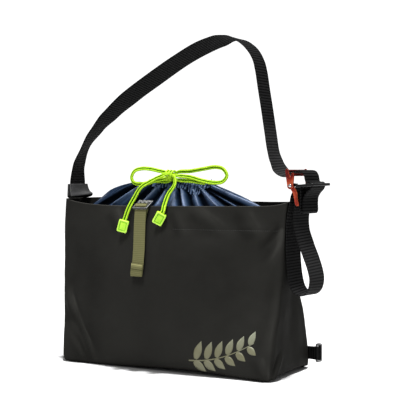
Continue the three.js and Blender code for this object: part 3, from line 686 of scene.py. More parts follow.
def outlineOf(row, counts, soft, endBow, heightOf, dense=4):
    # front, right, back and left in turn, run together by a moving mean
    def bow(end, middle, s):
        return end + (middle - end) * (1 - (2 * s - 1) ** 2)

    def straight(start, end, s):
        return start + (end - start) * s

    left, right, near, far = row["left"], row["right"], row["endFront"], row["endBack"]
    points = []
    for side, count in enumerate(counts):
        s = np.arange(count * dense) / (count * dense)
        if side == 0:
            x, y = straight(left, right, s), bow(near, row["midFront"], s)
        elif side == 1:
            x, y = bow(right, right + endBow, s), straight(near, far, s)
        elif side == 2:
            x, y = straight(right, left, s), bow(far, row["midBack"], s)
        else:
            x, y = bow(left, left - endBow, s), straight(far, near, s)
        points.append(np.stack([x, y, heightOf(row, side, s)], axis=1))
    points = np.vstack(points)
    around = np.vstack([points[-soft:], points, points[:soft]])
    kernel = np.ones(2 * soft + 1) / (2 * soft + 1)
    rounded = np.stack([np.convolve(around[:, k], kernel, mode="valid") for k in range(3)], axis=1)
    return rounded[::dense]


def flatNormals(ring):
    step = np.roll(ring, -1, axis=0) - np.roll(ring, 1, axis=0)
    return unit(np.stack([step[:, 1], -step[:, 0], np.zeros(len(ring))], axis=1))


def moreLevels(columns, levels, heights):
    # levels between the given ones, on a smooth curve through each column
    curve, _ = smoothLine(levels, bodySet["perLevel"])
    number = np.arange(len(curve))
    order = np.interp(heights, np.maximum.accumulate(curve[:, 0]), number)
    rows = np.stack([np.interp(order, number, column) for column in curve.T], axis=1)
    return [dict(zip(columns, row)) for row in rows]


def frontArch(s):
    return bell(s, bodySet["archMiddle"], bodySet["archReach"])


def bodyHeight(row, side, s):
    # lift raises the base's edges off the floor, wave shapes the rim
    swell = 1 - (2 * s - 1) ** bodySet["swell"]
    leftShare = 1 - 2 * s
    if side == 0:
        frontSwell = 1 - np.abs(leftShare) ** np.where(s > 0.5, bodySet["rightEnd"], bodySet["swell"])
        lift = bodySet["frontLift"] * frontArch(s)
        wave = -bodySet["rimSag"] * frontSwell * (1 + bodySet["rimLean"] * leftShare)
    elif side == 2:
        lift = bodySet["backLift"] * swell
        wave = -bodySet["rimTwist"] * swell * leftShare
    else:
        lift = bodySet["sideLift"] * swell
        wave = 0 * s
    return row["z"] + lift * row["lift"] + wave * row["rim"]


def dentDepth(side, along, height):
    # dents and folds together, and the folds alone
    dents, folds = np.zeros(len(along)), np.zeros(len(along))
    for dentSide, middle, z, long, short, lean, deep in bodyDents:
        if dentSide == side:
            c, s = math.cos(math.radians(lean)), math.sin(math.radians(lean))
            a = ((along - middle) * c + (height - z) * s) / long
            b = ((height - z) * c - (along - middle) * s) / short
            dents += deep * np.exp(-a * a - b * b)
    ease, past = bodySet["foldEase"], bodySet["foldPast"]
    for foldSide, a0, z0, a1, z1, width, deep in bodyFolds:
        if foldSide == side:
            run = np.array([a1 - a0, z1 - z0])
            reach = np.linalg.norm(run)
            run = run / reach
            t = ((along - a0) * run[0] + (height - z0) * run[1]) / reach
            d = ((height - z0) * run[0] - (along - a0) * run[1]) / width
            ends = 1 / (1 + np.exp(-ease * (t + past))) / (1 + np.exp(ease * (t - 1 - past)))
            folds += deep * bodySet["foldPeak"] * d * np.exp(-0.5 * d * d) * ends
    return dents + folds, folds


def bodyRing(row, topShare):
    ring = outlineOf(row, bodySet["counts"], bodySet["soft"], bodySet["endBow"], bodyHeight)
    normal = flatNormals(ring)
    moved = ring.copy()
    # painted shade and highlight: a plain level, with one flank of each fold painted paler and the other
    # darker
    paintedShading = np.full(len(ring), bodySet["crease"])
    for side, direction in sideInward.items():
        direction = np.array(direction, float)
        facing = np.maximum(0, -(normal @ direction))
        along = ring[:, 1] if side in ("right", "left") else ring[:, 0]
        depth, crease = dentDepth(side, along, ring[:, 2])
        moved += (facing * depth)[:, None] * direction
        paintedShading += facing * crease / bodySet["creaseRange"]
    # painted shade on the right side and on the far left, a painted highlight on the right side's front
    # corner
    paintedShading -= bodySet["sideDark"] * np.maximum(0, normal[:, 0])
    corner = bell(normal[:, 0], bodySet["cornerAt"], bodySet["cornerWide"])
    paintedShading += bodySet["cornerPale"] * corner * (ring[:, 1] < 0)
    farLeft = fall(ring[:, 0], bodySet["leftFrom"], bodySet["leftReach"])
    paintedShading -= bodySet["leftDark"] * farLeft * np.maximum(0, -normal[:, 1])
    # slack of the cloth, and the stitched line under the hem
    coarse, fine = bodySet["slackSizes"]
    slack = noiseAt(ring, coarse) + bodySet["fineShare"] * noiseAt(ring[:, [2, 0, 1]], fine)
    slack *= bodySet["slack"] * topShare * (1 - math.exp(-row["z"] / bodySet["slackFoot"]))
    hem = bell(row["z"], rimLevel - bodySet["hemDrop"], bodySet["hemWidth"])
    hem = hem * rise(ring[:, 0], bodySet["hemFrom"], bodySet["hemReach"])
    moved += normal * (slack - bodySet["hemDepth"] * hem)[:, None]
    # under the raised edges the base lies further in
    hollow = max(0.0, 1 - row["z"] / bodySet["hollowTall"]) * bodySet["archHollow"]
    share = (ring[:, 0] - row["left"]) / (row["right"] - row["left"])
    moved[:, 1] += np.where(ring[:, 1] < 0, hollow * frontArch(share), 0)
    across = np.clip(ring[:, 1] / row["endBack"], -1, 1)
    moved[:, 0] -= np.sign(ring[:, 0]) * hollow * np.abs(normal[:, 0]) * (1 - across**4)
    return moved, normal, paintedShading


def bodyShell():
    wall = bodySet["wall"]
    wallRows = np.arange(bodySet["wallFrom"], rimLevel, bodySet["rowStep"])
    rimRows = rimLevel - np.array([bodySet["hemDrop"], *bodySet["rimRows"]])
    heights = np.unique(np.concatenate([bodySet["footRows"], wallRows, rimRows]))
    outer, inner, paintedShading = [], [], []
    for row in moreLevels(wallColumns + ("lift", "rim"), bodyLevels, heights):
        ring, normal, crease = bodyRing(row, 1.0 - bodySet["slackTop"] * (row["z"] / rimLevel) ** 6)
        flat = 1 - min(1.0, row["z"] / bodySet["flatFoot"])
        outer.append(ring)
        inner.append(ring - normal * wall * math.sqrt(1 - flat**2) + np.array([0, 0, wall * flat]))
        paintedShading.append(np.clip(crease, 0, 1))
    # rolled rim between outside and inside
    rim, inside = outer[-1], inner[-1]
    roll = []
    for angle in np.pi * np.array(bodySet["rollTurns"]):
        blend = (1 - math.cos(angle)) / 2
        roll.append(rim * (1 - blend) + inside * blend + np.array([0, 0, wall / 2 * math.sin(angle)]))
    # floor of the inside and the hollow under the base, drawn in towards the middle
    floor = inner[0] * np.array(bodySet["floorIn"]) + np.array([0, 0, bodySet["floorUp"]])
    middle = inner[0] * np.array(bodySet["middleIn"]) + np.array([0, 0, bodySet["middleUp"]])
    under = outer[0] * np.array(bodySet["underIn"])
    shell = gridObject("bagBody", np.array([under] + outer + roll + inner[::-1] + [floor, middle]) * mm)
    # painted shade inside, darker to the right, and a painted highlight on the rim, paler in two steps
    rightward = rise(rim[:, 0], bodySet["insideFrom"], bodySet["insideReach"])
    rightward = np.maximum(rightward, bodySet["insideLeast"])
    dark = [crease - bodySet["insideDark"] * rightward for crease in paintedShading[::-1]]
    paintedShading[-1] = paintedShading[-1] + 0.5 * bodySet["rimPale"]
    lit = [paintedShading[-1] + 0.5 * bodySet["rimPale"]] * len(roll)
    tones = [paintedShading[0]] + paintedShading + lit + dark + [dark[-1]] * 2
    keepHeights(shell, np.concatenate(tones), bodySet["deepest"])
    return shell


bagBody = bodyShell()
place(bagBody, "bag", ["bag_body"], charcoalCloth)
bodyTree = treeOf(bagBody)
print("bag body made:", len(bagBody.data.polygons), "faces")


def frontAt(x, z):
    # how far the plain front reaches, in millimetres, as in the solids
    above = next(i for i in range(1, len(bodyLevels)) if bodyLevels[i][0] >= z)
    low, high = bodyLevels[above - 1], bodyLevels[above]
    t = (z - low[0]) / (high[0] - low[0])

    def reach(row):
        s = (x - row[1]) / (row[2] - row[1])
        return row[3] + (row[4] - row[3]) * (1 - (2 * s - 1) ** 2)

    return reach(low) * (1 - t) + reach(high) * t


def onFront(x, z, stand):
    # a place on the front cloth and its outward direction, in metres
    hit, normal, _, _ = bodyTree.ray_cast(Vector((x * mm, -0.4, z * mm)), Vector((0, 1, 0)))
    if normal.y > 0:
        normal = -normal
    return hit + normal * stand * mm, normal


# liner collar: folds run down from the gathered mouth, with a crinkled frill above it
linerSet = {
    "wall": 1.0, "counts": (260, 78, 260, 78), "soft": 86, "rowsPerLevel": 10, "low": 308.0, "high": 338.0,
    "bend": 2.5, "bendRise": 0.9, "bendStep": 0.13, "wideLow": 1.25, "narrowing": 0.4, "narrowTo": 1.2,
    "ridgeSteep": 1.5, "ridgePower": 1.15, "frontShare": 1.6, "fade": 292.0, "fadeReach": 14.0,
    "gather": 0.55, "gatherFrom": 330.0, "gatherReach": 16.0, "backFolds": 17, "backTall": 4.5,
    "backSharp": 0.8, "backDrop": 3.0, "smoothing": 0.8, "smoothFrom": 30.0, "smoothReach": 40.0,
    "looseTurns": 3.0, "looseStep": 0.4, "backLoose": 2.0, "foldRise": 0.35, "crinkleRise": 0.6,
    "crinkle": 1.3, "backCrinkle": 0.25, "mouthFrom": 322.0, "mouthReach": 24.0,
    "ripple": 0.5, "rippleSize": 9.0, "rippleStretch": (1, 1, 3),
    "plain": 0.42, "foldRange": 10.0, "fineRange": 6.0, "backTone": 0.4,
    "pale": 0.28, "paleAt": 18.0, "paleWide": 42.0, "paleTop": 342.0, "paleTall": 26.0,
    "leftDark": 0.16, "leftFrom": -55.0, "rightPale": 0.04, "rightFrom": 60.0, "sideReach": 50.0,
}
# folds of the front: x at the low and the high level, half width, height (ridges stand out, hollows sink)
linerFolds = [
    (-176, -112, 9, 3.5), (-156, -98, 13, -10), (-128, -80, 7, 6.5), (-104, -70, 10, 2), (-82, -55, 9, -9),
    (-60, -34, 6, 6), (-46, -26, 8, -7), (-28, -14, 8, 3.5), (-12, -6, 5, -6), (4, 2, 5, 4.5), (15, 8, 5, -8),
    (27, 15, 7, 5), (42, 26, 6, -7), (54, 36, 5, 4), (66, 46, 6, -8), (90, 53, 6, 6.5), (106, 58, 5, -8),
    (119, 62, 5, 4.5), (134, 68, 7, -9), (150, 76, 5, 6), (160, 86, 4, -4), (172, 102, 10, 3),
]
# crinkles round the mouth: how many, how loose, shift from level to level, height
crinkleWaves = [(58, 6, 0.7, 1.0), (97, 9, -1.3, 0.6)]
# levels from the seam to the mouth; the pleat column only helps to space the rows between them
linerLevels = [
    (262, -247, 214, -22, -69, 11, 48, 0, 0),
    (288, -236, 203, -22, -61, 10, 42, 0.8, 0),
    (303, -201, 166, -25, -53, 12, 38, 1.6, 0),
    (318, -178, 134, -26, -47, 12, 33, 2.4, 1),
    (333, -156, 100, -25, -41, 10, 27, 3, 2),
    (345, -114, 70, -22, -36, 7, 22, 3, 3),
    (348, -84, 66, -19, -33, 6, 18, 2.6, 4),
    (345.5, -60, 63, -15, -28, 3, 13, 2, 4),
    (352, -64, 69, -18, -33, 6, 18, 3.4, 4),
]


def foldHeight(x, z):
    # all the drawn folds together at a place of the front; ridges are pointed and hollows round
    height = np.zeros(len(x))
    t = (z - linerSet["low"]) / (linerSet["high"] - linerSet["low"])
    narrow = linerSet["wideLow"] - linerSet["narrowing"] * min(linerSet["narrowTo"], max(0, t))
    steep, power = linerSet["ridgeSteep"], linerSet["ridgePower"]
    for xLow, xHigh, width, tall in linerFolds:
        bend = linerSet["bend"] * math.sin(linerSet["bendRise"] * t + linerSet["bendStep"] * xLow)
        d = np.abs(x - (xLow + (xHigh - xLow) * t) - bend) / (width * narrow)
        height += tall * (np.exp(-steep * d**power) if tall > 0 else np.exp(-(d**2)))
    return height


def linerRing(row, level):
    z = row["z"]
    ring = outlineOf(row, linerSet["counts"], linerSet["soft"], bodySet["endBow"],
                     lambda r, side, s: np.full(len(s), z), dense=2)
    normal = flatNormals(ring)
    angle = 2 * math.pi * np.arange(len(ring)) / len(ring)
    turns = linerSet["looseTurns"] * np.stack([np.cos(angle), np.sin(angle), np.zeros(len(ring))], axis=1)
    loose = noiseAt(turns + np.array([0, 0, linerSet["looseStep"] * level]), 1.0)
    front = np.clip(-normal[:, 1] * linerSet["frontShare"], 0, 1)
    # drawn folds in front, even ones behind that are flatter to the right; the drawcord flattens all
    wave = np.sin(linerSet["backFolds"] * angle + linerSet["backLoose"] * loose)
    smooth = 1 - linerSet["smoothing"] * rise(ring[:, 0], linerSet["smoothFrom"], linerSet["smoothReach"])
    back = linerSet["backTall"] * np.sign(wave) * np.abs(wave) ** linerSet["backSharp"] * smooth
    grown = rise(z, linerSet["fade"], linerSet["fadeReach"])
    gathered = 1 - linerSet["gather"] * rise(z, linerSet["gatherFrom"], linerSet["gatherReach"])
    folds = (front * foldHeight(ring[:, 0], z) + (1 - front) * back) * grown * gathered
    # fine crinkles near the mouth
    near = max(0.0, (z - linerSet["mouthFrom"]) / linerSet["mouthReach"])
    fine = linerSet["crinkle"] * near * (linerSet["backCrinkle"] + (1 - linerSet["backCrinkle"]) * front)
    fine = fine * sum(tall * np.sin(count * angle + free * loose + shift * level)
                      for count, free, shift, tall in crinkleWaves)
    ripple = noiseAt(ring * np.array(linerSet["rippleStretch"]), linerSet["rippleSize"])
    ripple = linerSet["ripple"] * grown * ripple
    middle, half = (row["midFront"] + row["midBack"]) / 2, (row["midBack"] - row["midFront"]) / 2
    ring = ring + normal * (folds + fine + ripple)[:, None]
    ring[:, 2] += 0.5 * row["tilt"] * (ring[:, 1] - middle) / half
    ring[:, 2] += linerSet["foldRise"] * folds * front + linerSet["crinkleRise"] * fine
    ring[:, 2] -= linerSet["backDrop"] * (1 - front) * near
    # tones: painted shade and highlight on the folds and crinkles, a painted highlight in the middle and to
    # the right, painted shade on the left
    shown = linerSet["backTone"] + (1 - linerSet["backTone"]) * front
    heights = linerSet["plain"] + shown * folds / linerSet["foldRange"] + fine / linerSet["fineRange"]
    pale = bell(ring[:, 0], linerSet["paleAt"], linerSet["paleWide"])
    heights += linerSet["pale"] * pale * fall(z, linerSet["paleTop"], linerSet["paleTall"])
    heights += linerSet["rightPale"] * rise(ring[:, 0], linerSet["rightFrom"], linerSet["sideReach"])
    heights -= linerSet["leftDark"] * fall(ring[:, 0], linerSet["leftFrom"], linerSet["sideReach"])
    return ring, normal, heights


def linerCollar():
    columns = wallColumns + ("pleat", "tilt")
    curve, spans = smoothLine(linerLevels, linerSet["rowsPerLevel"])
    outer, inner, heights = [], [], []
    for row, level in zip(curve, spans):
        ring, normal, height = linerRing(dict(zip(columns, row)), level)
        outer.append(ring)
        inner.append(ring - normal * linerSet["wall"])
        heights.append(height)
    over = np.array([0, 0, linerSet["wall"] / 2])
    lip = (outer[-1] + inner[-1]) / 2 + over
    foot = (outer[0] + inner[0]) / 2 - over
    grid = np.array([foot] + outer + [lip] + inner[::-1] + [foot])
    collar = gridObject("linerCollar", grid * mm, caps=False)
    keepHeights(collar, np.concatenate([heights[0]] + heights + [heights[-1]] + heights[::-1] + [heights[0]]))
    mendMesh(collar.data, weld=True, outward=False)
    return collar


linerPiece = linerCollar()
place(linerPiece, "bag", ["liner_collar"], navyNylon)
linerTree = treeOf(linerPiece)
print("liner collar made:", len(linerPiece.data.polygons), "faces")

# frill: the collar's crinkled edge, falling over the front of the gathers
frillSet = {"columns": 420, "rows": 12, "thick": 0.7, "pitch": 5.6, "wave": 2.0, "top": 346.5,
            "stand": 2.6, "ease": 20, "plainY": -36.0, "tone": 0.4, "loose": 0.9, "looseSize": 17.0,
            "spread": 0.4, "topShare": 0.35, "edge": 1.2, "edgePitch": 3.1, "shear": 0.8, "shearPitch": 2.3,
            "noiseRow": 2.3, "edgeLoose": 4}
frillDrops = [(-56, 3), (-44, 7), (-24, 9), (-6, 7), (10, 9), (24, 12), (38, 21), (48, 25), (58, 17),
              (68, 9), (76, 4)]


def frillPiece():
    spots = np.array(frillDrops, float)
    x = np.linspace(spots[0, 0], spots[-1, 0], frillSet["columns"])
    drop = np.interp(x, spots[:, 0], spots[:, 1])
    level = np.full(len(x), frillSet["noiseRow"])
    spot = np.stack([x / frillSet["looseSize"], level, np.zeros(len(x))], axis=1)
    phase = frillSet["loose"] * noiseAt(spot, 1.0)
    edge = frillSet["edge"] * np.sin(x / frillSet["edgePitch"] + frillSet["edgeLoose"] * phase)
    rings, heights = [], []
    for t in np.linspace(0, 1, frillSet["rows"]):
        z = frillSet["top"] - drop * t + edge * t
        ripple = np.sin(2 * math.pi * (x / frillSet["pitch"] + phase * (1 + frillSet["spread"] * t)))
        ripple = ripple * (frillSet["topShare"] + (1 - frillSet["topShare"]) * t)
        y = []
        for px, pz in zip(x, z):
            hit = linerTree.ray_cast(Vector((px * mm, -0.3, pz * mm)), Vector((0, 1, 0)))[0]
            y.append(hit.y / mm if hit else frillSet["plainY"])
        y = smoothed(np.array(y), frillSet["ease"]) - frillSet["stand"] + frillSet["wave"] * ripple
        sheared = x + frillSet["shear"] * np.cos(x / frillSet["shearPitch"]) * t
        front = np.stack([sheared, y, z], axis=1)
        back = front + np.array([0, frillSet["thick"], 0])
        rings.append(np.vstack([front, back[::-1]]))
        # painted shade and highlight on the frill's ripples
        height = linerSet["plain"] - frillSet["tone"] * ripple
        heights += [height, height[::-1]]
    frill = gridObject("linerFrill", np.array(rings) * mm)
    keepHeights(frill, np.concatenate(heights))
    return frill


place(frillPiece(), "bag", [], navyNylon)
print("liner frill made")

# webbing: a ribbed band swept through its stations (x, y, z, turn, lean)
strapSet = {"width": 50.0, "thick": 2.2, "pitch": 5.3, "rib": 0.45, "selvage": 2.6, "step": 0.8}
oliveSet = {"width": 25.0, "thick": 1.6, "pitch": 3.4, "rib": 0.06, "selvage": 1.6, "step": 0.7}
tabSet = {"width": 24.0, "thick": 1.6, "pitch": 5.3, "rib": 0.14, "selvage": 1.6, "step": 0.6}
bandShape = {"perSpan": 30, "columns": 13, "edge": (-60, -30, 0, 30, 60), "ribRound": 0.55, "ribSink": 0.6,
             "plainEdge": 0.4}
strapMiddle = -6.0
buckleSet = {"x": 241.4, "y": strapMiddle, "z": 343.0, "turn": 10.0}


def webbing(name, stations, band, upright=False):
    table = np.array(stations, float)
    line, spans = smoothLine(table[:, :3], bandShape["perSpan"])
    turn, lean = (np.radians(eased(table[:, k], spans)) for k in (3, 4))
    line, along, (turn, lean) = evenSteps(line, band["step"], turn, lean)
    run = tangents(line)
    across = (np.tile([0.0, 0.0, 1.0], (len(line), 1)) if upright
              else np.stack([np.sin(turn), np.cos(turn), np.zeros(len(line))], axis=1))
    across = unit(across - run * (across * run).sum(1, keepdims=True))
    across = across * np.cos(lean)[:, None] + np.cross(run, across) * np.sin(lean)[:, None]
    face = np.cross(run, across)
    # section: two flat faces and two round edges
    half, thin = band["width"] / 2, band["thick"] / 2
    flat = np.linspace(-1, 1, bandShape["columns"]) * (half - thin)
    level = np.full(len(flat), thin)
    bend = np.radians(bandShape["edge"])
    edge = half - thin + thin * np.cos(bend)
    side = np.concatenate([flat, edge, flat[::-1], -edge])
    up = np.concatenate([-level, thin * np.sin(bend), level, -thin * np.sin(bend)])
    # ribs stand on both faces and stop short of the selvages
    rib = np.abs(np.sin(math.pi * along / band["pitch"])) ** bandShape["ribRound"] - bandShape["ribSink"]
    inside = np.clip((half - np.abs(side)) / band["selvage"] - bandShape["plainEdge"], 0, 1)
    height = up[None] + (np.sign(up) * inside * band["rib"])[None] * rib[:, None]
    skin = line[:, None] + side[None, :, None] * across[:, None] + height[..., None] * face[:, None]
    section = np.stack([side, up], axis=1)
    girth = lengthsAlong(np.vstack([section, section[:1]]))
    uv = np.stack(np.broadcast_arrays(girth[None] * mm, along[:, None] * mm), axis=2)
    return gridObject(name, skin * mm, uv), line


def atBuckle(along, up, bandTurn=buckleSet["turn"]):
    turn = math.radians(buckleSet["turn"])
    return (buckleSet["x"] + along * math.cos(turn), buckleSet["y"] - along * math.sin(turn),
            buckleSet["z"] + up, bandTurn, 0)


# over the shoulder: x, z, lean, turn
overShoulder = [
    (-244, 320, 0, 0), (-244, 344, 0, 0), (-241, 378, 8, 0), (-226, 413, 15, 0), (-198, 448, 4, 0),
    (-164, 479, -8, 0), (-117, 513, -16, 0), (-65, 544, -17, 0), (-4, 578, -16, 0), (42, 599, -18, 0),
    (76, 609.5, -16, 0), (102, 614, -5, 0), (124, 608, 2, 0), (145, 592.5, 2, 0), (159, 571, 0, 0),
    (165, 550, 0, 0), (170, 520, 0, 0), (177, 480, 0, 0), (184, 437, 0, 0), (189.5, 405, 0, 0),
    (196, 386, 3, 0), (205, 370, 5, 4), (216, 362.5, 3, 8),
]
# through the buckle: along, up, turn
throughBuckle = [
    (-15, 18.5, 10), (-7, 20.2, 10), (0, 23, 10), (6, 25.4, 10), (13, 26.6, 9), (20, 24.4, 8),
    (24.6, 18.4, 7.5), (26.2, 12, 7.5), (27.8, 7.4, 7), (31.2, 5.8, 6.5), (36, 5.8, 6), (39.4, 2.6, 6),
    (37.5, -4.4, 6), (30.5, -11.5, 7), (24.6, -19.5, 8), (22.8, -30, 9), (22.8, -45, 9),
    (20, -48.6, 9), (17.2, -45, 9), (17, -30, 9), (17.4, -2.8, 9),
]
strapStations = [(x, strapMiddle, z, turn, lean) for x, z, lean, turn in overShoulder]
strapStations += [atBuckle(*spot) for spot in throughBuckle]
shoulderStrap, strapLine = webbing("shoulderStrap", strapStations, strapSet)

# painted light on the bands: the strap gets painted shade over the top and in its tail, and is painted paler
# beside the buckle
bandLightSet = {"deepest": -1.0, "deep": -0.18, "deepFrom": 430.0, "deepEase": 40.0, "deepLeft": 150.0,
          "pale": 0.8, "paleRight": 160.0, "paleTop": 470.0, "loop": 0.6, "loopRight": 248.0, "ease": 20.0,
          "tail": -0.3, "tailRight": 15.0, "tailTop": -14.0, "tailEase": 6.0}


def keepBandLight(band, line, tone):
    keepHeights(band, np.repeat(tone, len(band.data.vertices) // len(line)), bandLightSet["deepest"])


strapX, strapZ = strapLine[:, 0], strapLine[:, 2]
overTop = (rise(strapZ, bandLightSet["deepFrom"], bandLightSet["deepEase"])
           * fall(strapX, bandLightSet["deepLeft"], bandLightSet["deepEase"]))
besideBuckle = (rise(strapX, bandLightSet["paleRight"], bandLightSet["ease"])
                * fall(strapX, buckleSet["x"], bandLightSet["ease"])
                * fall(strapZ, bandLightSet["paleTop"], bandLightSet["deepEase"]))
inTail = (fall(strapZ, bandLightSet["tailTop"] + buckleSet["z"], bandLightSet["tailEase"])
          * rise(strapX, bandLightSet["tailRight"] + buckleSet["x"], bandLightSet["tailEase"]))
keepBandLight(shoulderStrap, strapLine,
        bandLightSet["deep"] * overTop + bandLightSet["pale"] * besideBuckle + bandLightSet["tail"] * inTail)
place(shoulderStrap, "bag", ["shoulder_strap"], blackWebbing)

# anchor loop: round the link's bar, down to a slack bight and up to the bar again
linkBar = {"along": 6.6, "up": -9.5, "radius": 2.4, "gap": 0.45, "slack": 2.2}
loopTurn = linkBar["radius"] + linkBar["gap"] + strapSet["thick"] / 2
roundLink = []
for degrees in (165, 130, 95, 60, 25, -10):
    c, s = math.cos(math.radians(degrees)), math.sin(math.radians(degrees))
    roundLink.append(atBuckle(linkBar["along"] + loopTurn * c,
                              linkBar["up"] + loopTurn * s + linkBar["slack"] * max(0, s)))
loopRows = [
    (244.5, -6, 288, 10), (246, -6, 265, 9), (254.5, -6, 239, 10), (263.5, -6, 217, 10), (272, -6, 193, 9),
    (275, -6, 176, 8), (271, -6, 158, 8), (261, -6, 149, 8), (249, -6, 150.5, 8), (239, -6, 160, 8),
    (233, -6, 182, 7), (229.5, -6, 222, 6), (227.4, -6, 258, 2), (228.6, -6, 284, 1), (233, -5, 303, 5),
]
loopStations = roundLink + [atBuckle(8.6, -31)] + [(*row, 0) for row in loopRows]
loopStations += [atBuckle(linkBar["along"] - loopTurn - 4, linkBar["up"] - 8),
                 atBuckle(linkBar["along"] - loopTurn - 0.3, linkBar["up"] - 0.9)]
anchorLoop, loopLine = webbing("anchorLoop", loopStations, strapSet)
# the loop is painted paler to the right, as painted light
keepBandLight(anchorLoop, loopLine, bandLightSet["loop"] * rise(loopLine[:, 0], bandLightSet["loopRight"], bandLightSet["ease"]))
place(anchorLoop, "bag", ["anchor_loop"], blackWebbing)
print("strap and anchor loop made")

# strap anchor: a folded cloth cuff, whose lower fold swings out further at the far end
cuffSet = {"near": -34.5, "far": 22.5, "thick": 1.4, "columns": 48, "top": 342.5, "nearFlare": -2.5,
           "farFlare": 9.5, "crumple": 0.35, "crumpleSize": 11.0, "darkTop": 320.0, "darkFlare": 0.3,
           "darkTall": 3.0, "deepest": -0.5, "perSpan": 8}
# the fold's line seen along Y: x, share of the flare in x, z, share of the flare in z;
# top of the outer layer, down, round the foot, up the inner layer
cuffRows = [
    (-241.4, 0.1, cuffSet["top"], 0), (-240.8, 0.3, 334, 0), (-239.4, 0.62, 326, 0.1),
    (-237.4, 1, 320.6, 0.3), (-237.6, 0.98, 317.4, 0.25), (-240.5, 0.7, 315.6, 0.15), (-245, 0, 315.2, 0),
    (-247.8, 0, 317, 0), (-248, 0, 322, 0), (-247.6, 0, 330, 0), (-246.7, 0, cuffSet["top"], 0),
]


def cuffPiece():
    sections, shades = [], []
    half = cuffSet["thick"] / 2
    for share in np.linspace(0, 1, cuffSet["columns"]):
        y = cuffSet["near"] + (cuffSet["far"] - cuffSet["near"]) * share
        flare = cuffSet["nearFlare"] + (cuffSet["farFlare"] - cuffSet["nearFlare"]) * share**2
        stations = [(x + xFlare * flare, y, z + zFlare * flare) for x, xFlare, z, zFlare in cuffRows]
        line, _ = smoothLine(stations, cuffSet["perSpan"])
        line[:, 0] += cuffSet["crumple"] * noiseAt(line, cuffSet["crumpleSize"])
        out = besideRun(tangents(line))
        sections.append(np.vstack([line + out * half, (line - out * half)[::-1]]))
        # painted shadow: the cloth below the flared lip is darker
        lip = cuffSet["darkTop"] + cuffSet["darkFlare"] * flare
        shades.append(np.minimum(0, sections[-1][:, 2] - lip) / cuffSet["darkTall"])
    cuff = gridObject("strapCuff", np.array(sections) * mm)
    keepHeights(cuff, np.concatenate(shades), cuffSet["deepest"])
    return cuff


place(cuffPiece(), "bag", ["strap_anchor"], cuffCloth)
print("strap cuff made")


# hard pieces: plates cut to an outline with softened edges, and round bars
def arcPoints(x, y, radius, start, end, count=16):
    angles = np.radians(np.linspace(start, end, count))
    return [(x + radius * math.cos(a), y + radius * math.sin(a)) for a in angles]


def bendPoints(start, control, end, count=7):
    # from start to end, without the start itself
    start, control, end = np.array(start), np.array(control), np.array(end)
    return [tuple((1 - t) ** 2 * start + 2 * t * (1 - t) * control + t * t * end)
            for t in np.linspace(0, 1, count)[1:]]


def plateMesh(outlines, thick, edge, matrix):
    # a plate in X and Y with holes, its edges rounded; outlines are in millimetres
    curve = bpy.data.curves.new("plate", "CURVE")
    curve.dimensions = "2D"
    curve.fill_mode = "BOTH"
    curve.extrude = (thick / 2 - edge) * mm
    curve.bevel_depth = edge * mm
    curve.bevel_resolution = 2
    curve.offset = -edge * mm
    for outline in outlines:
        spline = curve.splines.new("POLY")
        spline.points.add(len(outline) - 1)
        for point, (x, y) in zip(spline.points, outline):
            point.co = (x * mm, y * mm, 0, 1)
        spline.use_cyclic_u = True
    holder = addObject("plate", curve)
    bpy.context.view_layer.update()
    mesh = bpy.data.meshes.new_from_object(holder.evaluated_get(bpy.context.evaluated_depsgraph_get()))
    bpy.data.objects.remove(holder)
    mendMesh(mesh, weld=True)
    mesh.transform(matrix)
    return mesh


def turnedMesh(profile, sides, matrix):
    # a turned piece: profile rows are (radius, along), along becomes Y
    angle = np.linspace(0, 2 * math.pi, sides, endpoint=False)
    rings = [np.stack([r * np.cos(angle), np.full(sides, a), -r * np.sin(angle)], axis=1) for r, a in profile]
    mesh = meshOnly(gridObject("turned", np.array(rings) * mm))
    mesh.transform(matrix)
    return mesh


standUp = Matrix.Rotation(math.radians(90), 4, "X")
atPin = (Matrix.Translation(Vector((buckleSet["x"], buckleSet["y"], buckleSet["z"])) * mm)
         @ Matrix.Rotation(-math.radians(buckleSet["turn"]), 4, "Z"))
pinAxis = atPin.to_3x3() @ Vector((0, 1, 0))
pinSet = {"radius": 1.9, "hole": 2.3, "headRadius": 3.1, "head": 1.5, "play": 0.3, "chamfer": 0.2,
          "rim": 0.4, "dome": (5, 25, 45, 65, 80, 88), "sides": 32}
barSet = {"sides": 28, "chamfer": 0.3, "end": 0.85}
cheekSet = {"inside": 28.8, "thick": 2.2, "foot": 6.3, "barNear": 0.35}
armSet = {"inside": 26.2, "thick": 2.2, "top": 5.0}
earSet = {"inside": 23.4, "thick": 2.2, "end": 4.6}
frameBars = [(-7.4, 26.2, 2.3), (5.2, 19.0, 2.3)]
pinHole = arcPoints(0, 0, pinSet["hole"], 0, 350, 28)


def platePair(outlines, sizes, edge=0.5):
    middle = sizes["inside"] + sizes["thick"] / 2
    return [plateMesh(outlines, sizes["thick"], edge, atPin @ Matrix.Translation((0, y * mm, 0)) @ standUp)
            for y in (middle, -middle)]


def barMesh(along, up, radius, reach):
    end, straight = radius * barSet["end"], reach - barSet["chamfer"]
    profile = [(end, -reach), (radius, -straight), (radius, straight), (end, reach)]
    return turnedMesh(profile, barSet["sides"], atPin @ Matrix.Translation(Vector((along, 0, up)) * mm))


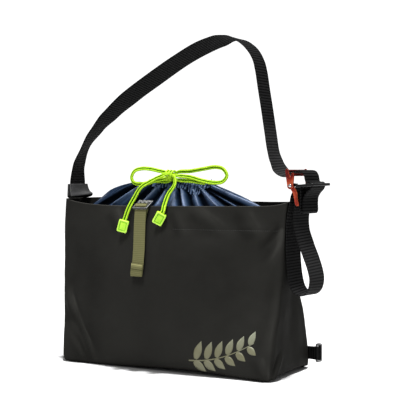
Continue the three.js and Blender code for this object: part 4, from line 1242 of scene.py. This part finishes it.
cheekOutline = (
    [(-10.4, 26), (-9, 16)] + arcPoints(0, 0, cheekSet["foot"], 180, 360, 20) + [(7.4, 8), (8.2, 19)]
    + bendPoints((8.2, 19), (8.2, 22.6), (5.2, 23)) + bendPoints((5.2, 23), (3, 23), (2.4, 20.5))
    + [(0.2, 15), (-4, 26)] + bendPoints((-4, 26), (-4.2, 29.6), (-7, 29.8))
    + bendPoints((-7, 29.8), (-10.2, 29.6), (-10.4, 26))[:-1])
barEnd = cheekSet["inside"] + cheekSet["thick"] / 2
buckleFrame = joinMeshes("buckleFrame", platePair([cheekOutline, pinHole], cheekSet)
                         + [barMesh(*bar, barEnd) for bar in frameBars])
wornAndLitEdges(buckleFrame, 40, pinAxis, strip=0.5, flat=0.1)
# the bars lie in the strap's shade: they lose the pale edges and are painted darker, as painted shade
toPin = atPin.inverted()
for vertex, height in zip(buckleFrame.data.vertices, buckleFrame.data.attributes["foldHeight"].data):
    if abs(abs((toPin @ vertex.co).y) / mm - barEnd) < cheekSet["barNear"]:
        height.value = 0.0
place(buckleFrame, "bag", ["buckle_frame"], orangeMetal)

armOutline = (
    [(4.6, -14), (9, -33.5)] + bendPoints((9, -33.5), (12, -37), (16.2, -35))
    + bendPoints((16.2, -35), (17.5, -31.5), (14, -27)) + [(12.6, -12)]
    + arcPoints(0, 0, armSet["top"], 0, 180, 20))
armBar = barMesh(linkBar["along"], linkBar["up"], linkBar["radius"], armSet["inside"] + armSet["thick"] / 2)
buckleLink = joinMeshes("buckleLink", platePair([armOutline, pinHole], armSet) + [armBar])
wornAndLitEdges(buckleLink, 40, pinAxis, strip=0.5, flat=0.25)
place(buckleLink, "bag", ["buckle_link"], orangeMetal)


def pinPiece():
    shoulder = cheekSet["inside"] + cheekSet["thick"] + pinSet["play"]
    wide, chamfer, rim = pinSet["headRadius"], pinSet["chamfer"], pinSet["rim"]
    head = [(pinSet["radius"], shoulder), (wide - chamfer, shoulder), (wide, shoulder + chamfer)]
    head += [(wide * math.cos(a), shoulder + rim + (pinSet["head"] - rim) * math.sin(a))
             for a in np.radians(pinSet["dome"])]
    profile = [(r, -a) for r, a in head[::-1]] + head
    return joinMeshes("bucklePin", [turnedMesh(profile, pinSet["sides"], atPin)])


bucklePin = wornAndLitEdges(pinPiece(), 50, pinAxis, strip=0.3, flat=0.5)
place(bucklePin, "bag", ["buckle_pin"], brightMetal)

plateSet = {"start": 9.0, "end": 47.0, "halfWidth": 29.0, "thick": 4.6, "up": -4.0, "tilt": 5.0,
            "corner": 3.0, "edge": 0.4}
plateSlot = {"start": 33.8, "end": 43.6, "halfWidth": 26.0, "corner": 1.2}


def releasePlate():
    def boxed(sizes):
        ring = roundedRing(sizes["end"] - sizes["start"], 2 * sizes["halfWidth"], sizes["corner"])
        ring[:, 0] += (sizes["start"] + sizes["end"]) / 2
        return ring

    tilt = Matrix.Rotation(-math.radians(plateSet["tilt"]), 4, "Y")
    lift = Matrix.Translation((0, 0, (plateSet["up"] + plateSet["thick"] / 2) * mm))
    sheet = plateMesh([boxed(plateSet), boxed(plateSlot)], plateSet["thick"], plateSet["edge"],
                      atPin @ lift @ tilt)
    ear = arcPoints(0, 0, earSet["end"], 90, 270, 18) + [(12, 1), (12, 4.0)]
    return joinMeshes("releasePlate", [sheet] + platePair([ear, pinHole], earSet))


platePiece = wornAndLitEdges(releasePlate(), 40, Vector((0, 0, 1)), strip=0.8)
place(platePiece, "bag", ["release_plate"], blackMetal)
print("strap buckle made")

# closure buckle: a ladder frame over the front rim, tipped towards the front
closureSet = {"x": -49.0, "offset": 5.2, "z": 303.4, "tilt": 28.0, "width": 32.0, "thick": 3.6}
ladderSet = {"front": -9.8, "frontSlot": (-6.2, -2.2), "rearSlot": (2.2, 5.2), "rear": 20.0, "slotHalf": 13.2,
             "corner": 3.0, "slotCorner": 0.8, "rows": 3, "knobs": 3, "knob": 0.9, "knobHalf": 2.1,
             "knobUp": 0.3, "knobTip": 0.4, "knobFlat": 0.7, "aside": 0.25, "edge": 0.8,
             "knobSides": 12, "rearEdge": 2, "firstRow": 0.75}
closureY = frontAt(closureSet["x"], rimLevel - bodySet["rimSag"]) - closureSet["offset"]
atClosure = (Matrix.Translation(Vector((closureSet["x"], closureY, closureSet["z"])) * mm)
             @ Matrix.Rotation(math.radians(closureSet["tilt"]), 4, "X"))


def ladderBuckle():
    def boxed(low, high, halfWidth, corner):
        ring = roundedRing(2 * halfWidth, high - low, corner)
        ring[:, 1] += (low + high) / 2
        return ring

    outlines = [boxed(ladderSet["front"], ladderSet["rear"], closureSet["width"] / 2, ladderSet["corner"])]
    outlines += [boxed(*ladderSet[key], ladderSet["slotHalf"], ladderSet["slotCorner"])
                 for key in ("frontSlot", "rearSlot")]
    meshes = [plateMesh(outlines, closureSet["thick"], ladderSet["edge"], atClosure)]
    # the rear end is knurled: rows of knobs, each row set half a knob aside
    pitch = (ladderSet["rear"] - ladderSet["rearEdge"] - ladderSet["rearSlot"][1]) / ladderSet["rows"]
    step = 2 * ladderSet["slotHalf"] / ladderSet["knobs"]
    half, radius = ladderSet["knobHalf"], ladderSet["knob"]
    tip, flat = ladderSet["knobTip"] * radius, ladderSet["knobFlat"] * half
    profile = [(tip, -half), (radius, -flat), (radius, flat), (tip, half)]
    across = Matrix.Rotation(math.radians(90), 4, "Z")
    for row in range(ladderSet["rows"]):
        along = ladderSet["rearSlot"][1] + pitch * (row + ladderSet["firstRow"])
        for knob in range(ladderSet["knobs"]):
            shift = ladderSet["aside"] if row % 2 else -ladderSet["aside"]
            aside = (knob + 0.5 - ladderSet["knobs"] / 2 + shift) * step
            spot = Vector((aside, along, closureSet["thick"] / 2 + ladderSet["knobUp"])) * mm
            matrix = atClosure @ Matrix.Translation(spot) @ across
            meshes.append(turnedMesh(profile, ladderSet["knobSides"], matrix))
    return joinMeshes("closureBuckle", meshes)


ladderFace = atClosure.to_3x3() @ Vector((0, 0, 1))
closureBuckle = wornAndLitEdges(ladderBuckle(), 40, ladderFace, strip=0.8)
place(closureBuckle, "bag", ["closure_buckle"], blackPlastic)


def atFront(x, offset, z):
    return (x, frontAt(x, z) - offset, z, -90, 0)


def atLadder(along, up):
    tilt = math.radians(closureSet["tilt"])
    return (closureSet["x"], closureY + along * math.cos(tilt) - up * math.sin(tilt),
            closureSet["z"] + along * math.sin(tilt) + up * math.cos(tilt), -90, 0)


closureStations = [
    atFront(-51.5, 1.6, 276), atFront(-51, 1.7, 288), atFront(-49.2, 1.4, 298), atLadder(3.8, -0.6),
    atLadder(3.3, 2.3), atLadder(0, 3.5), atLadder(-3.4, 2.3), atLadder(-4.1, -0.6), atFront(-48.5, 8.3, 295),
    atFront(-48.5, 7.5, 280), atFront(-47, 6.5, 250), atFront(-46, 6, 225), atFront(-46.5, 5.5, 200),
    atFront(-48.4, 5, 179), atFront(-48.6, 6.1, 174), atFront(-48.4, 7.4, 179), atFront(-47, 7.6, 197),
]
closureStrap, closureLine = webbing("closureStrap", closureStations, oliveSet)
# the folded end: a painted highlight along its rolled edge, and a painted shadow line below it
foldEnd = {"pale": 1.0, "paleReach": 5.0, "dark": -1.2, "darkAt": 11.5, "darkWide": 2.2}
fromEnd = lengthsAlong(closureLine[::-1])[::-1]
shadowLine = bell(fromEnd, foldEnd["darkAt"], foldEnd["darkWide"])
keepBandLight(closureStrap, closureLine,
        foldEnd["pale"] * (fromEnd < foldEnd["paleReach"]) + foldEnd["dark"] * shadowLine)
place(closureStrap, "bag", ["closure_strap"], oliveWebbing)
print("closure strap and buckle made")

# ring on its tab at the lower back corner
ringSet = {"x": 236.0, "y": 87.5, "z": 27.0, "tall": 35.0, "wide": 15.0, "bar": 3.0, "corner": 4.0,
           "holeCorner": 1.4, "swung": 80.0, "hingeDeep": 3.0, "freeDeep": 9.0, "hingeReach": 2.6,
           "play": 0.3, "edge": 0.7}
tabTurn = ringSet["hingeReach"] + ringSet["play"] + tabSet["thick"] / 2
tabBend, tabEnd = 0.8 * tabTurn, 1.1 * tabTurn
tabRows = [(205, 1.5), (213, 0.6), (219, -1.1), (227, -1.8), (ringSet["x"] - 1, -tabTurn),
           (ringSet["x"] + tabBend, -tabBend), (ringSet["x"] + tabEnd, 0),
           (ringSet["x"] + tabBend, tabBend), (ringSet["x"] - 1, tabTurn),
           (227, 1.6), (219, 1.3), (213, 2.6), (205, 3.5)]
tabStations = [(x, ringSet["y"] + y, ringSet["z"], 0, 0) for x, y in tabRows]
ringTab, _ = webbing("ringTab", tabStations, tabSet, upright=True)
place(ringTab, "bag", ["ring_tab"], blackWebbing)

ringOutline = roundedRing(ringSet["wide"], ringSet["tall"], ringSet["corner"], 10)
ringHole = roundedRing(ringSet["wide"] - 2 * ringSet["bar"], ringSet["tall"] - 2 * ringSet["bar"],
                       ringSet["holeCorner"], 8)
ringMesh = plateMesh([ringOutline, ringHole], ringSet["hingeDeep"], ringSet["edge"], standUp)
for vertex in ringMesh.vertices:
    share = vertex.co.x / mm / ringSet["wide"] + 0.5
    vertex.co.y *= 1 + (ringSet["freeDeep"] / ringSet["hingeDeep"] - 1) * share
ringMesh.transform(Matrix.Translation(Vector((ringSet["x"], ringSet["y"], ringSet["z"])) * mm)
                   @ Matrix.Rotation(math.radians(ringSet["swung"]), 4, "Z")
                   @ Matrix.Translation(((ringSet["wide"] - ringSet["bar"]) / 2 * mm, 0, 0)))
tabRing = wornAndLitEdges(joinMeshes("tabRing", [ringMesh]), 60, Vector((0, 0, 1)), strip=0.4)
place(tabRing, "ring", ["tab_ring"], blackPlastic)
print("ring and tab made")

# print on the front: a leafy sprig, flat ink a hair above the cloth
sprigSet = {"from": (60.0, 26.0), "to": (188.0, 66.0), "sag": 10.0, "stem": 2.4, "stand": 0.25,
            "film": 0.00012, "pairs": 6, "first": 0.4, "ahead": 0.03, "lean": 52.0, "leaf": 40.0,
            "shorter": 0.35, "lower": 0.82, "leafWidth": 15.0, "narrower": 0.2, "blunt": 0.85, "tip": 0.12,
            "stemRows": 40, "stemFoot": 1.1, "stemTaper": 0.6, "leafRows": 14, "leafFoot": 0.08}


def sprigPrint():
    vertices, faces = [], []
    (x0, z0), (x1, z1) = sprigSet["from"], sprigSet["to"]

    def patch(rows):
        # rows of points from one edge to the other, laid on the cloth
        start = len(vertices)
        columns = len(rows[0])
        for row in rows:
            for x, z in row:
                vertices.append(tuple(onFront(x, z, sprigSet["stand"])[0]))
        for r in range(len(rows) - 1):
            for c in range(columns - 1):
                a = start + r * columns + c
                faces.append((a, a + 1, a + columns + 1, a + columns))

    def stemAt(t):
        return np.array([x0 + (x1 - x0) * t, z0 + (z1 - z0) * t - sprigSet["sag"] * 4 * t * (1 - t)])

    stem = []
    for t in np.linspace(0, 1, sprigSet["stemRows"]):
        wide = sprigSet["stem"] * (sprigSet["stemFoot"] - sprigSet["stemTaper"] * t)
        stem.append([stemAt(t) + np.array([0, o]) * wide for o in (-0.5, 0, 0.5)])
    patch(stem)
    heading = math.atan2(z1 - z0, x1 - x0)
    for i in range(sprigSet["pairs"]):
        t = (i + sprigSet["first"]) / sprigSet["pairs"]
        for sign in (1, -1):
            base = stemAt(t + (sprigSet["ahead"] if sign > 0 else 0.0))
            length = sprigSet["leaf"] * (1.0 - sprigSet["shorter"] * t)
            if sign < 0:
                length *= sprigSet["lower"]
            direction = heading + sign * math.radians(sprigSet["lean"])
            along = np.array([math.cos(direction), math.sin(direction)])
            side = np.array([-along[1], along[0]])
            broad = sprigSet["leafWidth"] * (1 - sprigSet["narrower"] * t) / 2
            rows = []
            for s in np.linspace(sprigSet["leafFoot"], 1, sprigSet["leafRows"]):
                wide = broad * math.sin(math.pi * s ** sprigSet["blunt"]) + sprigSet["tip"]
                rows.append([base + along * length * s + side * wide * o for o in (-1, -0.5, 0, 0.5, 1)])
            patch(rows)
    return makeObject("frontPrint", vertices, faces)


frontPrint = sprigPrint()
solid = frontPrint.modifiers.new("inkFilm", "SOLIDIFY")
solid.thickness = sprigSet["film"]
place(frontPrint, "bag", [], ink)
print("front print made")

# stitches: short threads laid along the hem of the front
stitchSet = {"from": 20.0, "to": 214.0, "z": 262.0, "length": 0.0028, "gap": 0.0012, "thick": 0.0006,
             "spots": 160, "sides": 6, "sunk": 0.3,
             "rings": ((0.0, 0.35), (0.2, 1.0), (0.8, 1.0), (1.0, 0.35))}


def stitchRow():
    row = np.linspace(stitchSet["from"], stitchSet["to"], stitchSet["spots"])
    spots = [onFront(x, stitchSet["z"], 0.0) for x in row]
    places, normals = (np.array([tuple(spot[k]) for spot in spots]) for k in (0, 1))
    even, _, carried = evenSteps(places, stitchSet["length"] + stitchSet["gap"], *normals.T)
    runs = unit(np.diff(even, axis=0))
    sides, thick = stitchSet["sides"], stitchSet["thick"]
    vertices, faces = [], []
    for first, run, normal in zip(even, runs, np.array(carried).T):
        side = np.cross(run, normal)
        start = len(vertices)
        for s, swell in stitchSet["rings"]:
            out = normal * thick * stitchSet["sunk"] * (swell - 0.5)
            middle = first + run * stitchSet["length"] * s + out
            for a in 2 * math.pi * np.arange(sides) / sides:
                vertices.append(middle + thick / 2 * swell * (math.cos(a) * side + math.sin(a) * normal))
        last = len(vertices) - sides
        faces += [tuple(start + v for v in face) for face in gridFaces(len(stitchSet["rings"]), sides)]
        faces += [tuple(range(start, start + sides)), tuple(range(last, last + sides))]
    return makeObject("hemStitches", vertices, faces)


place(stitchRow(), "bag", [], darkThread)
print("stitches made")

# stage: pale floor, a bright backdrop all round the far side, soft light from above and the front
floorSet = {"half": 3.2, "drop": 0.0002}
bpy.ops.mesh.primitive_plane_add(size=2 * floorSet["half"], location=(0, 0, -floorSet["drop"]))
floor = bpy.context.object
floor.name = "studioFloor"
floorMaterial, floorTree, floorShader = startMaterial("paleFloor")
floorTone = noiseOf(floorTree, coordinates(floorTree), 3.0)
feed(floorTree, floorShader, {
    "Base Color": rampOf(floorTree, floorTone, [(0.2, (0.9, 0.9, 0.9)), (0.8, (0.93, 0.93, 0.93))]),
    "Roughness": 0.8,
    "Specular IOR Level": 0.05,
})
floor.data.materials.append(floorMaterial)

# the studio's far side is white, its near side darker
studioSet = {"farSide": (-0.485, 0.874, 0.0), "far": 1.15, "near": 0.24, "from": 0.88, "to": 0.958}
world = bpy.data.worlds.new("studio")
world.use_nodes = True
worldTree = world.node_tree
direction = addNode(worldTree, "ShaderNodeTexCoord").outputs["Generated"]
facing = addNode(worldTree, "ShaderNodeVectorMath", {0: direction, 1: studioSet["farSide"]},
                 operation="DOT_PRODUCT").outputs["Value"]
strength = addNode(worldTree, "ShaderNodeMapRange", {
    "Value": facing, "From Min": studioSet["from"], "From Max": studioSet["to"],
    "To Min": studioSet["near"], "To Max": studioSet["far"]}).outputs["Result"]
feed(worldTree, worldTree.nodes["Background"], {"Strength": strength, "Color": (1.0, 1.0, 1.0, 1.0)})
scene.world = world

# an even soft light from above, a little from behind, and two softboxes
sunSet = {"from": (0.0, 0.09, 1.0), "strength": 4.4, "angle": 4.5}
lightSet = [
    {"name": "keyLight", "at": (0.3, -1.5, 3.0), "aim": (0, 0, 0.25), "size": 0.9, "watts": 104},
    {"name": "topLight", "at": (-0.3, -0.1, 1.9), "aim": (0, 0, 0.3), "size": 0.7, "watts": 4},
]


def addLamp(name, kind, at, aim, energy):
    lamp = bpy.data.lights.new(name, kind)
    lamp.energy = energy
    holder = addObject(name, lamp)
    holder.location = at
    holder.rotation_euler = (Vector(aim) - Vector(at)).to_track_quat("-Z", "Y").to_euler()
    return holder


def leftOut(name, pieces):
    # a collection for light linking that leaves these pieces out
    group = bpy.data.collections.new(name)
    for piece in pieces:
        group.objects.link(piece)
    for entry in group.collection_objects:
        entry.light_linking.link_state = "EXCLUDE"
    return group


# the softboxes are flagged off the floor, and the hanging pieces throw no shadow in the sun
offFloor = leftOut("offFloor", [floor])
hanging = leftOut("hanging", [shoulderStrap, anchorLoop, buckleFrame, buckleLink, bucklePin, platePiece,
                              ringTab, tabRing])
sunHolder = addLamp("softSun", "SUN", sunSet["from"], (0, 0, 0), sunSet["strength"])
sunHolder.data.angle = math.radians(sunSet["angle"])
sunHolder.light_linking.blocker_collection = hanging
for light in lightSet:
    holder = addLamp(light["name"], "AREA", light["at"], light["aim"], light["watts"])
    holder.data.size = light["size"]
    holder.light_linking.receiver_collection = offFloor
print("stage and lights set")
